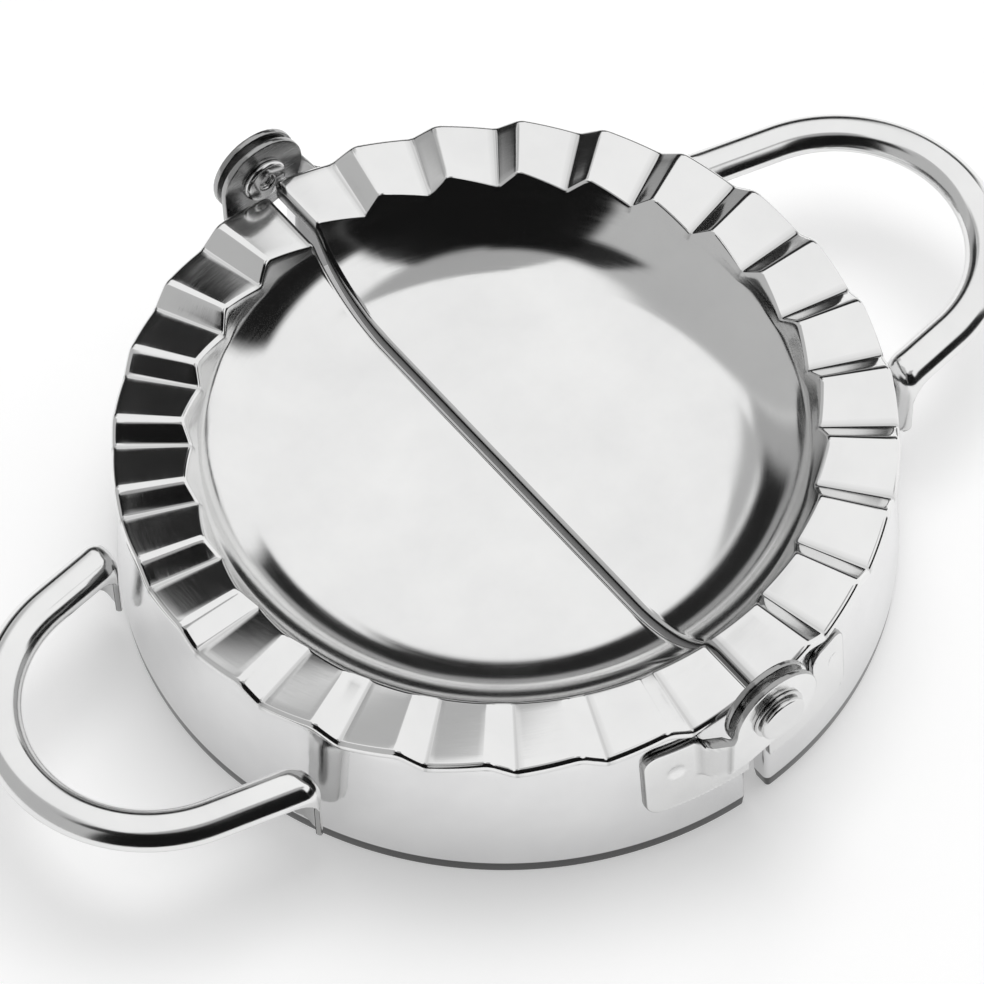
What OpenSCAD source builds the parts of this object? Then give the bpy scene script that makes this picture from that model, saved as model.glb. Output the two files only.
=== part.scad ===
// Folding empanada press of pressed stainless sheet.
// Two like halves turn on two rivets. Open, the press lies flat on its skirts; closed, the pleated rims nest.
// The origin is on the table under the middle of the seam. +X runs to the right handle, +Y along the hinge axis.

/* [Rim] */
// Outer radius of the pleated rim
rim_r = 47.8; // [46:0.1:52]
// Height of the mean rim surface above the table
rim_z = 22; // [20:0.5:30]
// Number of wide faces round one half
pleat_count = 14; // [8:1:16]
// Angle taken by one narrow face, in degrees
narrow_face = 3.8; // [2.5:0.1:5]
// Height of a pleat from valley to crest
pleat_h = 1.75; // [0.6:0.05:2.4]
// Half of the angle over which a crest is rounded, in degrees
crest_round = 0.9; // [0.4:0.1:1.2]
// Depth of the lip turned down round the rim
lip_h = 1.1; // [0.9:0.1:1.4]

/* [Bowl] */
// Width of the rim, from its outer edge to the bowl's wall
rim_w = 10.6; // [8.5:0.1:12]
// Depth of that line below the mean rim surface
shoulder_d = 2.2; // [2:0.1:3]
// Slope of the short wall between the rim and the bowl, in degrees
shoulder_slope = 57.8; // [52:0.2:70]
// Width of the curved wall between the short wall and the floor
wall_w = 12.7; // [9:0.1:16]
// Depth of the floor below the mean rim surface
floor_d = 8.3; // [6:0.1:11]

/* [Sheet] */
// Thickness of the mould sheet
mould_t = 0.6; // [0.4:0.05:0.7]
// Radius of the bends in the mould sheet, outside
bend_r = 0.75; // [0.72:0.01:0.9]
// Thickness of the skirt sheet
skirt_t = 0.7; // [0.5:0.05:1]
// Thickness of the handle sheet
handle_t = 0.7; // [0.5:0.05:1]
// Thickness of the hinge plates
hinge_t = 0.8; // [0.6:0.05:1]
// Gap left by a spot-welded seat
weld_gap = 0.05; // [0.03:0.01:0.1]

/* [Seam] */
// Gap between the two turned-down seam flanges
seam_gap = 1; // [0.8:0.1:1.4]
// Depth of a seam flange
seam_flange = 2.5; // [2:0.1:3]
// Gap between the rims when the press is folded shut
shut_gap = 1.2; // [1:0.1:2]

/* [Skirt] */
// Gap between the mould's lip and the skirt's top
lip_gap = 0.2; // [0.1:0.05:0.6]
// Widening of the skirt from its top to the table
skirt_flare = 1.7; // [1:0.1:2.4]
// Height of the bevelled cutting edge
bevel_h = 1.9; // [1:0.1:3]
// Thickness left at the cutting edge
bevel_land = 0.4; // [0.3:0.05:0.5]
// Distance from the seam to a skirt's end
skirt_end = 1.5; // [1.4:0.1:2.5]
// Depth of the flange turned in at a skirt's end
end_flange = 2.4; // [1.4:0.1:3]

/* [Handle] */
// Distance from the rim's edge to the centre of a loop's arc
loop_out = 5.2; // [4:0.1:8]
// Radius of the loop's middle line
loop_r = 18.6; // [16:0.1:20]
// Half of the angle that the arc spans, in degrees
loop_half = 79; // [74:0.5:86]
// Turn of a loop about its arc's centre, in degrees
loop_turn = -3.1; // [-6:0.1:6]
// Width of the channel
channel_w = 5.5; // [4.6:0.1:6.4]
// Height of the channel
channel_h = 2.3; // [2:0.1:3.6]
// Radius of the channel's shoulders
channel_r = 1.7; // [1.4:0.1:1.9]
// Height of the channel's open side above the table
channel_z = 14.2; // [12:0.1:15]
// Height of a foot's lower end above the table
foot_z = 5; // [3:0.1:7]
// Radius of the bend where the channel turns down into a foot
foot_bend = 2.2; // [1.2:0.1:2.4]
// Depth of the sides kept along a foot, over its sheet
foot_side = 0.5; // [0.2:0.1:1]
// Radius of the inner corner between the channel's sides and its feet
foot_corner = 3; // [1:0.1:4]

/* [Hinge] */
// Radius of a hinge ear
ear_r = 6; // [5:0.1:6.3]
// Distance from the rim's edge to the inner ear's near face
ear_clear = 1.25; // [1.2:0.05:2]
// Distance between the ears of one joint
ear_gap = 0.9; // [0.8:0.05:1.4]
// Height of the outer hinge plate's lower edge
plate_z = 8; // [5:0.5:10]
// Height of a hinge plate's top edge
plate_top = 19; // [18:0.5:19.5]
// Distance from the seam to a hinge plate's far end
plate_end = 15.2; // [13:0.2:18]
// Distance from the seam to the start of the outer ear's arm
arm_x = 8.1; // [7.8:0.1:9]
// Height of the arm
arm_h = 6; // [4.5:0.1:6.4]
// Height of the arm's lower edge on the plate
arm_z = 12.4; // [11.5:0.1:13]
// Rise of the arm from the plate to the ear
arm_rise = 3.1; // [2:0.1:3.5]
// Height where the inner ear's neck leaves its plate
neck_z = 12.8; // [12:0.1:13.5]
// Height where the neck reaches the plane of the inner ear
neck_top = 15.2; // [14.5:0.1:16]
// Distance from the outer plate's far end to its weld dimple
outer_dimple = 3.9; // [2:0.1:5]
// Distance from the inner plate's far end to its weld dimple
inner_dimple = 2.1; // [2:0.1:4]
// Height of the weld dimples above the table
dimple_z = 14.9; // [13:0.1:16]
// Radius of a weld dimple
dimple_r = 1.2; // [0.8:0.1:1.5]
// Depth of a weld dimple
dimple_d = 0.3; // [0.15:0.05:0.4]

/* [Rivet] */
// Radius of the rivet's shank
rivet_r = 1.5; // [1.2:0.1:1.8]
// Radius of the rivet's head
head_r = 3.1; // [2.6:0.1:3.4]
// Radius of the washer under the head
washer_r = 3.5; // [3:0.1:4]
// Thickness of the washer
washer_t = 0.4; // [0.3:0.05:0.6]
// Height of the rivet's head over the washer
head_h = 0.95; // [0.8:0.05:1.6]
// Radius of the rolled tail
tail_r = 3.1; // [2.4:0.1:3.3]
// Height of the rolled tail
tail_h = 0.8; // [0.6:0.05:0.85]
// Running clearance round the shank
run_gap = 0.05; // [0.02:0.01:0.09]

/* [Hidden] */
$fn = 64;

// Margin by which a cutting solid passes what it cuts
over = 1;
shoulder_r = rim_r - rim_w;
floor_r = shoulder_r - wall_w;
skirt_top_r = rim_r - mould_t - lip_gap;
skirt_foot_r = skirt_top_r + skirt_flare;
loop_x = rim_r + loop_out;
inner_ear_y = rim_r + ear_clear;
// The seam edge of the mould turns down from here
seam_x = seam_gap / 2 + bend_r;
// Height of the hinge axis
axis_z = rim_z + shut_gap / 2;
// Angle of the seam's edge at a radius, in degrees
function edge_angle(r) = 90 - asin(seam_x / r);
rim_edge = edge_angle(rim_r);
wide_face = (2 * rim_edge - (pleat_count - 1) * narrow_face) / pleat_count;
pitch = wide_face + narrow_face;
// Slopes of the wide and narrow faces for a pleat that runs from -1 to 1
rise = 2 / wide_face;
fall = 2 / narrow_face;
// The bowl's wall is an arc that ends level at the floor
wall_h = floor_d - shoulder_d;
wall_r = (wall_w * wall_w + wall_h * wall_h) / (2 * wall_h);
wall_angle = asin(wall_w / wall_r);
wall_steps = 4;
bend_steps = 2;
corner_steps = 2;
face_steps = 3;
crest_steps = 3;
// The skirt stands against the pleats' valleys, inside the lip
skirt_top = rim_z - pleat_h / 2 - mould_t - weld_gap;
skirt_lean = (skirt_foot_r - skirt_top_r) / skirt_top;
function skirt_r(z) = skirt_foot_r - skirt_lean * z;
bevel_cut = skirt_t - bevel_land;
// The feet stand in one plane, where the steeper leg's inner side meets the skirt
leg_angle = loop_half + abs(loop_turn);
leg_in_r = loop_r - channel_w / 2;
leg_in_x = loop_x + leg_in_r * cos(leg_angle);
leg_in_y = leg_in_r * sin(leg_angle);
leg_along = leg_in_x * sin(leg_angle) - leg_in_y * cos(leg_angle);
leg_reach = leg_along - sqrt(pow(leg_along, 2) - pow(leg_in_x, 2) - pow(leg_in_y, 2) + pow(skirt_r(foot_z), 2));
foot_x = leg_in_x - leg_reach * sin(leg_angle) + weld_gap;
// The outer ear stands one gap outside the inner ear
outer_ear_y = inner_ear_y + hinge_t + ear_gap;
bore_r = rivet_r + run_gap;
seat_r = rivet_r + run_gap / 2;
washer_y = outer_ear_y + hinge_t + weld_gap;
head_y = washer_y + washer_t + weld_gap;
tail_y = inner_ear_y - weld_gap;
corner_r = 2;
shell_sweep = 40;
leg_l = loop_r * 1.3;
bend_turn = 15;
arm_wall = 0.6;
arm_out = 0.4;
dimple_ball = (dimple_r * dimple_r + dimple_d * dimple_d) / (2 * dimple_d);
neck_drop = 0.2;
neck_in = 3.7;

// Height of a rounded crest, -1 to 1, at an angle from its middle
function crest_height(a) =
    1 - (rise + fall) * crest_round / 4 + (rise - fall) / 2 * a - (rise + fall) / (4 * crest_round) * a * a;

// Angle and relative height of every line across the rim, from one seam end to the other
columns = concat(
    [for (k = [0:pleat_count - 1], j = [0:face_steps - 1 + (k < pleat_count - 1 ? crest_steps + 1 : 1)])
        let (valley = -rim_edge + k * pitch, crest = valley + wide_face)
        j < face_steps
            ? [valley + j * wide_face / face_steps, -1 + 2 * j / face_steps]
            : k < pleat_count - 1
                ? let (a = crest_round * (2 * (j - face_steps) / crest_steps - 1)) [crest + a, crest_height(a)]
                : [crest, 1]],
    []
);

// The mould's section inside the lip at a rim height: radius, height and the direction to the underside
function section(top) =
    let (
        corner_edge = shoulder_r + (top - rim_z + shoulder_d) / tan(shoulder_slope),
        corner = corner_edge + bend_r * tan(shoulder_slope / 2)
    )
    concat(
        [[rim_r - bend_r, top, 0, -1]],
        [for (a = [0, shoulder_slope / 2, shoulder_slope])
            [corner - bend_r * sin(a), top - bend_r * (1 - cos(a)), sin(a), -cos(a)]],
        [for (k = [0:wall_steps])
            let (a = wall_angle * (1 - k / wall_steps))
            [floor_r + wall_r * sin(a), rim_z - floor_d + wall_r * (1 - cos(a)), sin(a), -cos(a)]]
    );

last_column = len(columns) - 1;
last_row = len(section(rim_z)) - 1;

// Point of the sheet on a column and row, on the upper side (depth 0) or the underside (depth mould_t)
function sheet(c, j, depth) =
    let (
        p = section(rim_z + pleat_h / 2 * columns[c][1])[j],
        r = p[0] + depth * p[2],
        a = columns[c][0] * edge_angle(r) / rim_edge
    )
    [r * cos(a), r * sin(a), p[1] + depth * p[3]];

// How far a corner has turned from the lip to the seam flange: direction and depth of its edge
function corner(s) = [rim_edge + s * (180 - rim_edge), lip_h + s * (seam_flange - lip_h)];

// The turned-down border, once round the half: column, row, direction and depth
border = concat(
    [for (c = [0:last_column]) [c, 0, columns[c][0], lip_h]],
    [for (k = [1:corner_steps]) let (t = corner(k / (corner_steps + 1))) [last_column, 0, t[0], t[1]]],
    [for (j = [0:last_row]) [last_column, j, 180, seam_flange]],
    [for (j = [last_row:-1:0]) [0, j, 180, seam_flange]],
    [for (k = [corner_steps:-1:1]) let (t = corner(k / (corner_steps + 1))) [0, 0, -t[0], t[1]]]
);

// Point of the border: on its bend (step 1 to bend_steps) or at its free edge (step bend_steps + 1)
function border_point(b, step, depth) =
    let (
        a = 90 * min(step, bend_steps) / bend_steps,
        r = bend_r - depth,
        side = r * sin(a) * [cos(b[2]), sin(b[2]), 0]
    )
    step > bend_steps
        ? sheet(b[0], b[1], 0) + side - [0, 0, b[3]]
        : sheet(b[0], b[1], depth) + side - [0, 0, r * (1 - cos(a))];

// All points of one side of the mould
function mould_side(depth) = concat(
    [for (c = [0:last_column], j = [0:last_row]) sheet(c, j, depth)],
    [for (b = border, step = [1:bend_steps + 1]) border_point(b, step, depth)]
);

grid_points = len(columns) * (last_row + 1);
side_points = grid_points + len(border) * (bend_steps + 1);
function at(c, j) = c * (last_row + 1) + j;
function rim_at(k, step) =
    let (n = k % len(border))
    step == 0 ? at(border[n][0], border[n][1]) : grid_points + n * (bend_steps + 1) + step - 1;

// Faces of the upper side; the underside has the same ones turned over
upper_faces = concat(
    [for (c = [0:last_column - 1], j = [0:last_row - 1]) each [
        [at(c, j), at(c, j + 1), at(c + 1, j + 1)],
        [at(c, j), at(c + 1, j + 1), at(c + 1, j)]
    ]],
    [[for (c = [last_column:-1:0]) at(c, last_row)]],
    [for (k = [0:len(border) - 1], n = [1:bend_steps + 1])
        if (rim_at(k, n - 1) != rim_at(k + 1, n - 1)) [rim_at(k, n), rim_at(k, n - 1), rim_at(k + 1, n - 1)]],
    [for (k = [0:len(border) - 1], n = [1:bend_steps + 1])
        [rim_at(k, n), rim_at(k + 1, n - 1), rim_at(k + 1, n)]]
);
function turned(face) = [for (k = [len(face) - 1:-1:0]) face[k] + side_points];
// Faces along the free edge, from the upper side to the underside
edge_faces = [for (k = [0:len(border) - 1])
    let (p = rim_at(k, bend_steps + 1), q = rim_at(k + 1, bend_steps + 1))
    each [[p, q, q + side_points], [p, q + side_points, p + side_points]]];

// Half of the mould, on the +X side: pleated rim, bowl, lip and seam flange in one sheet
module mould() {
    polyhedron(
        points = concat(mould_side(0), mould_side(mould_t)),
        faces = concat(upper_faces, [for (f = upper_faces) turned(f)], edge_faces),
        convexity = 8
    );
}

// Band that stands under the rim, with its ends turned in; its lower edge is bevelled to cut dough
module skirt() {
    skirt_band(skirt_t, rim_r + over * 5);
    skirt_band(end_flange, skirt_t);
}

// Part of the skirt's band from its end over a length, with its inner face set in by a depth
module skirt_band(depth, length) {
    intersection() {
        rotate([0, 0, -90])
            rotate_extrude(angle = 180)
                polygon([
                    [skirt_foot_r - depth, 0],
                    [skirt_foot_r - bevel_cut, 0],
                    [skirt_r(bevel_h), bevel_h],
                    [skirt_top_r, skirt_top],
                    [skirt_top_r - depth, skirt_top]
                ]);
        translate([skirt_end, -rim_r - over * 5, 0])
            cube([length, 2 * (rim_r + over * 5), skirt_top]);
    }
}

// Section of the handle's channel, carried down to below its feet
module channel_outline(cut) {
    w = channel_w - 2 * cut;
    r = channel_r - cut;
    h = channel_h - cut;
    drop = channel_z - foot_z + over + cut;
    translate([-w / 2, -drop])
        square([w, h - r + drop]);
    translate([r - w / 2, 0])
        square([w - 2 * r, h]);
    for (side = [-1, 1])
        translate([side * (w / 2 - r), h - r])
            circle(r);
}

// One leg, carried on through the skirt, with the part of the loop's arc that follows it
module channel_leg(cut) {
    rotate([0, 0, -loop_half]) {
        rotate_extrude(angle = loop_half + bend_turn)
            translate([loop_r, 0])
                channel_outline(cut);
        translate([loop_r, 0, 0])
            rotate([90, 0, 0])
                linear_extrude(leg_l)
                    channel_outline(cut);
    }
}

// Solid swept by the outline along both legs and the loop; its halves meet in the loop's middle plane
module channel_sweep(cut) {
    side_l = 2 * loop_r + leg_l;
    translate([loop_x, 0, channel_z])
        rotate([0, 0, loop_turn])
            for (side = [0, 1])
                mirror([0, side, 0])
                    intersection() {
                        channel_leg(cut);
                        translate([-side_l, -2 * side_l, -side_l])
                            cube(2 * side_l);
                    }
}

// Space beside the skirt that a handle may fill; cut sets it back by the sheet for the hollow side
module foot_limit(cut) {
    bend_z = channel_z + channel_h - foot_bend;
    bend_x = foot_x + foot_bend;
    side_x = foot_x + handle_t + foot_side;
    far = loop_x + loop_r + channel_w;
    top = channel_z + channel_h + over;
    low = foot_z - 3 * over;
    rotate([90, 0, 0])
        translate([0, 0, -far])
            linear_extrude(2 * far)
                polygon(concat(
                    cut > 0
                        ? [[foot_x + cut, low], [far, low]]
                        : concat(
                            [[foot_x, foot_z], [side_x, foot_z]],
                            [for (a = [0:bend_turn:90]) [
                                side_x + foot_corner * (1 - cos(a)),
                                channel_z - foot_corner * (1 - sin(a))
                            ]],
                            [[far, channel_z]]
                        ),
                    [[far, top], [bend_x, top]],
                    [for (a = [0:bend_turn:90]) [
                        bend_x - (foot_bend - cut) * sin(a),
                        bend_z + (foot_bend - cut) * cos(a)
                    ]]
                ));
}

// Loop handle: one open channel whose ends bend down against the skirt
module handle() {
    difference() {
        intersection() {
            channel_sweep(0);
            foot_limit(0);
        }
        intersection() {
            channel_sweep(handle_t);
            foot_limit(handle_t);
        }
    }
}

// Rectangle with rounded corners on its far side
module rounded_plate(x0, x1, z0, z1, r) {
    translate([x0, z0])
        square([x1 - x0 - r, z1 - z0]);
    translate([x0, z0 + r])
        square([x1 - x0, z1 - z0 - 2 * r]);
    for (z = [z0 + r, z1 - r])
        translate([x1 - r, z])
            circle(r);
}

// Sheet that lies on the skirt's outer face, cut to a flat outline
module skirt_plate() {
    near = weld_gap;
    far = weld_gap + hinge_t;
    intersection() {
        rotate([0, 0, 90 - shell_sweep])
            rotate_extrude(angle = shell_sweep)
                polygon([
                    [skirt_foot_r + near, 0],
                    [skirt_foot_r + far, 0],
                    [skirt_top_r + far, skirt_top],
                    [skirt_top_r + near, skirt_top]
                ]);
        rotate([90, 0, 0])
            translate([0, 0, -rim_r - 5 * over])
                linear_extrude(rim_r)
                    children();
    }
}

// Ball that presses a weld dimple into a rear hinge plate at a distance from the seam
module dimple(x) {
    face_r = skirt_r(dimple_z) + weld_gap + hinge_t;
    rotate([0, 0, -asin(x / face_r)])
        translate([0, face_r + dimple_ball - dimple_d, dimple_z])
            sphere(dimple_ball);
}

// Ring or disc that lies across the hinge axis, from y0 outwards
module axis_disc(r, y0, h) {
    translate([0, y0, axis_z])
        rotate([-90, 0, 0])
            cylinder(r = r, h = h);
}

// Outer hinge plate, at the rear of the +X half: its arm steps out to the outer ear
module outer_hinge() {
    arm_y = sqrt(pow(skirt_r(arm_z) + weld_gap, 2) - pow(arm_x, 2)) + neck_drop / 2;
    arm_end = ear_r + arm_out - arm_wall;
    difference() {
        union() {
            skirt_plate() {
                rounded_plate(arm_x, plate_end, plate_z, plate_top, corner_r);
                translate([skirt_end, plate_z])
                    square([arm_x - skirt_end + over, arm_z - plate_z]);
            }
            hull() {
                translate([arm_x, arm_y, arm_z])
                    cube([arm_wall, arm_wall, arm_h]);
                translate([arm_end, outer_ear_y, arm_z + arm_rise])
                    cube([arm_wall, hinge_t, arm_h]);
            }
            axis_disc(ear_r, outer_ear_y, hinge_t);
            translate([0, outer_ear_y + hinge_t, 0])
                rotate([90, 0, 0])
                    linear_extrude(hinge_t)
                        polygon([
                            [0, axis_z],
                            [ear_r, axis_z],
                            [ear_r + arm_out, arm_z + arm_rise + arm_h],
                            [ear_r + arm_out, arm_z + arm_rise],
                            [neck_in, arm_z + arm_rise],
                            [0, axis_z - ear_r]
                        ]);
        }
        axis_disc(seat_r, outer_ear_y - over, hinge_t + 2 * over);
        dimple(plate_end - outer_dimple);
    }
}

// Inner hinge plate, at the front of the +X half: its neck steps out to the inner ear
module inner_hinge() {
    notch_x = ear_r + 2 * arm_wall + corner_r;
    neck_y = sqrt(pow(skirt_r(neck_z) + weld_gap, 2) - pow(ear_r, 2)) + neck_drop;
    mirror([0, 1, 0])
        difference() {
            union() {
                skirt_plate() {
                    rounded_plate(notch_x, plate_end, plate_z, plate_top, corner_r);
                    translate([skirt_end, plate_z])
                        square([notch_x - skirt_end + over, neck_z - plate_z]);
                }
                hull() {
                    translate([skirt_end, neck_y, neck_z - neck_drop])
                        cube([ear_r - skirt_end, arm_wall, neck_drop]);
                    translate([skirt_end, inner_ear_y, neck_top])
                        cube([ear_r - skirt_end, hinge_t, neck_drop]);
                }
                axis_disc(ear_r, inner_ear_y, hinge_t);
                translate([skirt_end, inner_ear_y, neck_top])
                    cube([ear_r - skirt_end, hinge_t, axis_z - neck_top]);
            }
            axis_disc(bore_r, inner_ear_y - over, hinge_t + 2 * over);
            dimple(plate_end - inner_dimple);
        }
}

// Rivet of the rear joint: turned head outside, hollow rolled tail inside
module rivet() {
    neck_r = head_r * 0.75;
    neck_h = head_h * 0.3;
    chamfer = head_h * 0.2;
    hollow_r = rivet_r * 0.7;
    hollow_d = tail_h * 0.8;
    translate([0, 0, axis_z])
        rotate([-90, 0, 0])
            rotate_extrude()
                polygon([
                    [0, tail_y - tail_h + hollow_d],
                    [hollow_r, tail_y - tail_h + hollow_d],
                    [hollow_r, tail_y - tail_h],
                    [tail_r - chamfer * 2, tail_y - tail_h],
                    [tail_r, tail_y - tail_h + chamfer * 2],
                    [tail_r, tail_y],
                    [rivet_r, tail_y],
                    [rivet_r, head_y],
                    [neck_r, head_y],
                    [neck_r, head_y + neck_h],
                    [head_r, head_y + neck_h],
                    [head_r, head_y + head_h - chamfer],
                    [head_r - chamfer, head_y + head_h],
                    [0, head_y + head_h]
                ]);
}

// Washer under the rivet's head
module washer() {
    difference() {
        axis_disc(washer_r, washer_y, washer_t);
        axis_disc(seat_r, washer_y - over, washer_t + 2 * over);
    }
}

// Spacer between the two ears
module spacer() {
    difference() {
        axis_disc(head_r, inner_ear_y + hinge_t + weld_gap, ear_gap - 2 * weld_gap);
        axis_disc(seat_r, inner_ear_y, hinge_t + ear_gap + over);
    }
}

// The left half is the right half turned half a turn about the Z axis
module turned_half() {
    rotate([0, 0, 180])
        children();
}

module left_mould() { color("gainsboro") turned_half() mould(); }
module left_skirt() { color("lightgray") turned_half() skirt(); }
module left_handle() { color("silver") turned_half() handle(); }
module left_outer_hinge() { color("whitesmoke") turned_half() outer_hinge(); }
module left_inner_hinge() { color("whitesmoke") turned_half() inner_hinge(); }
module right_mould() { color("gainsboro") mould(); }
module right_skirt() { color("lightgray") skirt(); }
module right_handle() { color("silver") handle(); }
module right_outer_hinge() { color("whitesmoke") outer_hinge(); }
module right_inner_hinge() { color("whitesmoke") inner_hinge(); }
module front_rivet() { color("darkgray") turned_half() rivet(); }
module front_washer() { color("silver") turned_half() washer(); }
module front_spacer() { color("silver") turned_half() spacer(); }
module rear_rivet() { color("darkgray") rivet(); }
module rear_washer() { color("silver") washer(); }
module rear_spacer() { color("silver") spacer(); }

left_mould();
left_skirt();
left_handle();
left_outer_hinge();
left_inner_hinge();
right_mould();
right_skirt();
right_handle();
right_outer_hinge();
right_inner_hinge();
front_rivet();
front_washer();
front_spacer();
rear_rivet();
rear_washer();
rear_spacer();
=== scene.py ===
import logging
import math
from collections.abc import Callable
from dataclasses import dataclass
from enum import Enum
from functools import partial

import bpy
import numpy as np
from mathutils import Matrix
from mathutils.geometry import delaunay_2d_cdt


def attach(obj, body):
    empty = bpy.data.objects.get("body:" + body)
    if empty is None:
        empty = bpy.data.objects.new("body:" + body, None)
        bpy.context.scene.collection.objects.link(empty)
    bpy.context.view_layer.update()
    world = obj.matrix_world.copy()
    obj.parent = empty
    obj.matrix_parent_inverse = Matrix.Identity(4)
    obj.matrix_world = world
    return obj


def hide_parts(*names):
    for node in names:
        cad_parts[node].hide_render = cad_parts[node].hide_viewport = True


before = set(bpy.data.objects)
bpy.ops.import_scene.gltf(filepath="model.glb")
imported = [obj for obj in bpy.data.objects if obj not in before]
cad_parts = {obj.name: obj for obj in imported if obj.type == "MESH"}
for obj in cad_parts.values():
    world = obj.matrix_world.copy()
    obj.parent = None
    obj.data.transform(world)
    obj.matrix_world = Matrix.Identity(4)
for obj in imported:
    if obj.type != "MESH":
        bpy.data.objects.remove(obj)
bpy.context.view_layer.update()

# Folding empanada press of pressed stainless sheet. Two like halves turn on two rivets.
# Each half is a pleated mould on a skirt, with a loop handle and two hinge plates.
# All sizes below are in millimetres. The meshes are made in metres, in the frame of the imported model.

MM = 0.001
MICRON = MM * MM
TINY = 1e-12  # Keeps a divisor off zero.
SHARP = 32.0  # Angle in degrees past which an edge is sharp.
EDGE_WEAR = 0.7  # Wear where a sheet's side meets its rounded edge.
EDGE_DULL = 0.6  # Dullness of a sheet's cut edge.
UNDER_DULL_AND_SHADE = 0.55  # Dullness of a sheet's lower side, which also paints shade on it.
TURNED_WEAR = 0.3  # Wear of a turned piece.
log = logging.getLogger("press")
Array = np.ndarray
Blend = Callable[[Array, Array], Array]
Section = tuple[Array, Array, Array]
Pair = tuple[float, float]
Triple = tuple[float, float, float]


class Half(Enum):
    """The two like halves. The left one is the right one turned half a turn about Z."""

    RIGHT = 1.0
    LEFT = -1.0

    @property
    def word(self) -> str:
        """Name of the half."""
        return self.name.lower()

    @property
    def joint(self) -> str:
        """Name of the joint whose rivet is fixed in this half's outer ear."""
        return "rear" if self is Half.RIGHT else "front"

    @property
    def body(self) -> str:
        """Name of the moving body that the half belongs to."""
        return f"{self.word}_half"


def unit(vectors: Array) -> Array:
    """Vectors divided by their lengths."""
    return vectors / np.maximum(np.linalg.norm(vectors, axis=-1, keepdims=True), TINY)


def stacked(*parts: Array | float) -> Array:
    """Coordinates, stretched to one shape, as points."""
    return np.stack(np.broadcast_arrays(*parts), -1)


def circle(angle: Array) -> Array:
    """Flat unit vectors at angles in radians."""
    return stacked(np.cos(angle), np.sin(angle))


def lengths(line: Array) -> Array:
    """Distance along a line from its start to each of its points."""
    return np.concatenate([[0.0], np.cumsum(np.linalg.norm(np.diff(line, axis=0), axis=1))])


def smooth_step(t: Array) -> Array:
    """Rises from 0 to 1 as 3t^2 - 2t^3, and is level outside that."""
    t = np.clip(t, 0.0, 1.0)
    return t * t * (3.0 - 2.0 * t)


def grown(value: Array, span: Pair) -> Array:
    """Rises smoothly from 0 where a value is at the span's start to 1 where it is at its end."""
    return smooth_step((value - span[0]) / (span[1] - span[0]))


def soft_ramp(t: Array, ease: float) -> Array:
    """Rises evenly from 0 at t = 0 to 1 at t = 1, with a parabola over t = -ease to ease at either end.

    Args:
        t: Way up the ramp.
        ease: Half length of a parabola.

    Returns:
        The heights.
    """
    low = (np.clip(t, -ease, ease) + ease) ** 2 / (4 * ease)
    high = (np.clip(1 - t, -ease, ease) + ease) ** 2 / (4 * ease)
    return np.where(t < ease, low, np.where(t > 1 - ease, 1 - high, t))


def turn(degrees: float) -> Array:
    """Matrix that turns flat points counter-clockwise."""
    a = math.radians(degrees)
    return np.array([[math.cos(a), math.sin(a)], [-math.sin(a), math.cos(a)]])


def rounded(corners: Array, radii: Array, steps: int, closed: bool) -> Array:
    """Line through corners, each replaced by an arc.

    An arc leaves the line radius * tan(turn / 2) before its corner. Its points are the arc's centre plus the
    radius in the directions from one side's normal to the other's.

    Args:
        corners: Corners of the line, (n, 2).
        radii: Radius at each corner. An open line's two ends are kept as they are.
        steps: Steps on one arc.
        closed: Whether the last corner is joined to the first.

    Returns:
        Points of the line, (m, 2).
    """
    before = unit(corners - np.roll(corners, 1, axis=0))
    after = unit(np.roll(corners, -1, axis=0) - corners)
    bend = np.arctan2(before[:, 0] * after[:, 1] - before[:, 1] * after[:, 0], (before * after).sum(1))
    side = np.where(bend < 0, -1.0, 1.0)[:, None]
    inward = np.stack([-before[:, 1], before[:, 0]], 1) * side
    reach = (radii * np.tan(np.abs(bend) / 2))[:, None]
    centre = corners - before * reach + inward * radii[:, None]
    start = np.arctan2(-inward[:, 1], -inward[:, 0])
    angle = start[:, None] + bend[:, None] * np.linspace(0, 1, steps + 1)
    arcs = centre[:, None] + radii[:, None, None] * circle(angle)
    if closed:
        return arcs.reshape(-1, 2)
    return np.concatenate([corners[:1], arcs[1:-1].reshape(-1, 2), corners[-1:]])


def evenly_filled(line: Array, spacing: float) -> Array:
    """A closed line with points added on its long stretches.

    Args:
        line: Points of the closed line, (n, 2).
        spacing: Distance between added points.

    Returns:
        The old points and the new ones, in order along the line.
    """
    ring = np.concatenate([line, line[:1]])
    length = lengths(ring)
    extra = np.arange(0.0, length[-1], spacing)
    extra = extra[np.abs(extra[:, None] - length).min(1) > spacing * 0.4]
    at = np.sort(np.concatenate([length[:-1], extra]))
    return np.stack([np.interp(at, length, ring[:, 0]), np.interp(at, length, ring[:, 1])], 1)


def inside(points: Array, line: Array) -> Array:
    """Which points a closed line holds, by the number of its sides that a ray to the right crosses.

    Args:
        points: Points to look at, (n, 2).
        line: Points of the closed line, (m, 2).

    Returns:
        A truth value for each point.
    """
    a, b = line, np.roll(line, -1, axis=0)
    x, y = points[:, :1], points[:, 1:]
    spans = (a[:, 1] > y) != (b[:, 1] > y)
    rise = np.where(np.abs(b[:, 1] - a[:, 1]) < TINY, TINY, b[:, 1] - a[:, 1])
    cross = a[:, 0] + (y - a[:, 1]) * (b[:, 0] - a[:, 0]) / rise
    return (spans & (x < cross)).sum(1) % 2 == 1


def grid_faces(rows: int, columns: int) -> Array:
    """Quads of a grid whose points run along a row first, seen from the side of column cross row.

    Args:
        rows: Number of rows.
        columns: Points in a row.

    Returns:
        Point numbers of the quads, (n, 4).
    """
    i, j = np.meshgrid(np.arange(rows - 1), np.arange(columns - 1), indexing="ij")
    at = (i * columns + j).ravel()
    return np.stack([at, at + 1, at + columns + 1, at + columns], 1)


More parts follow.
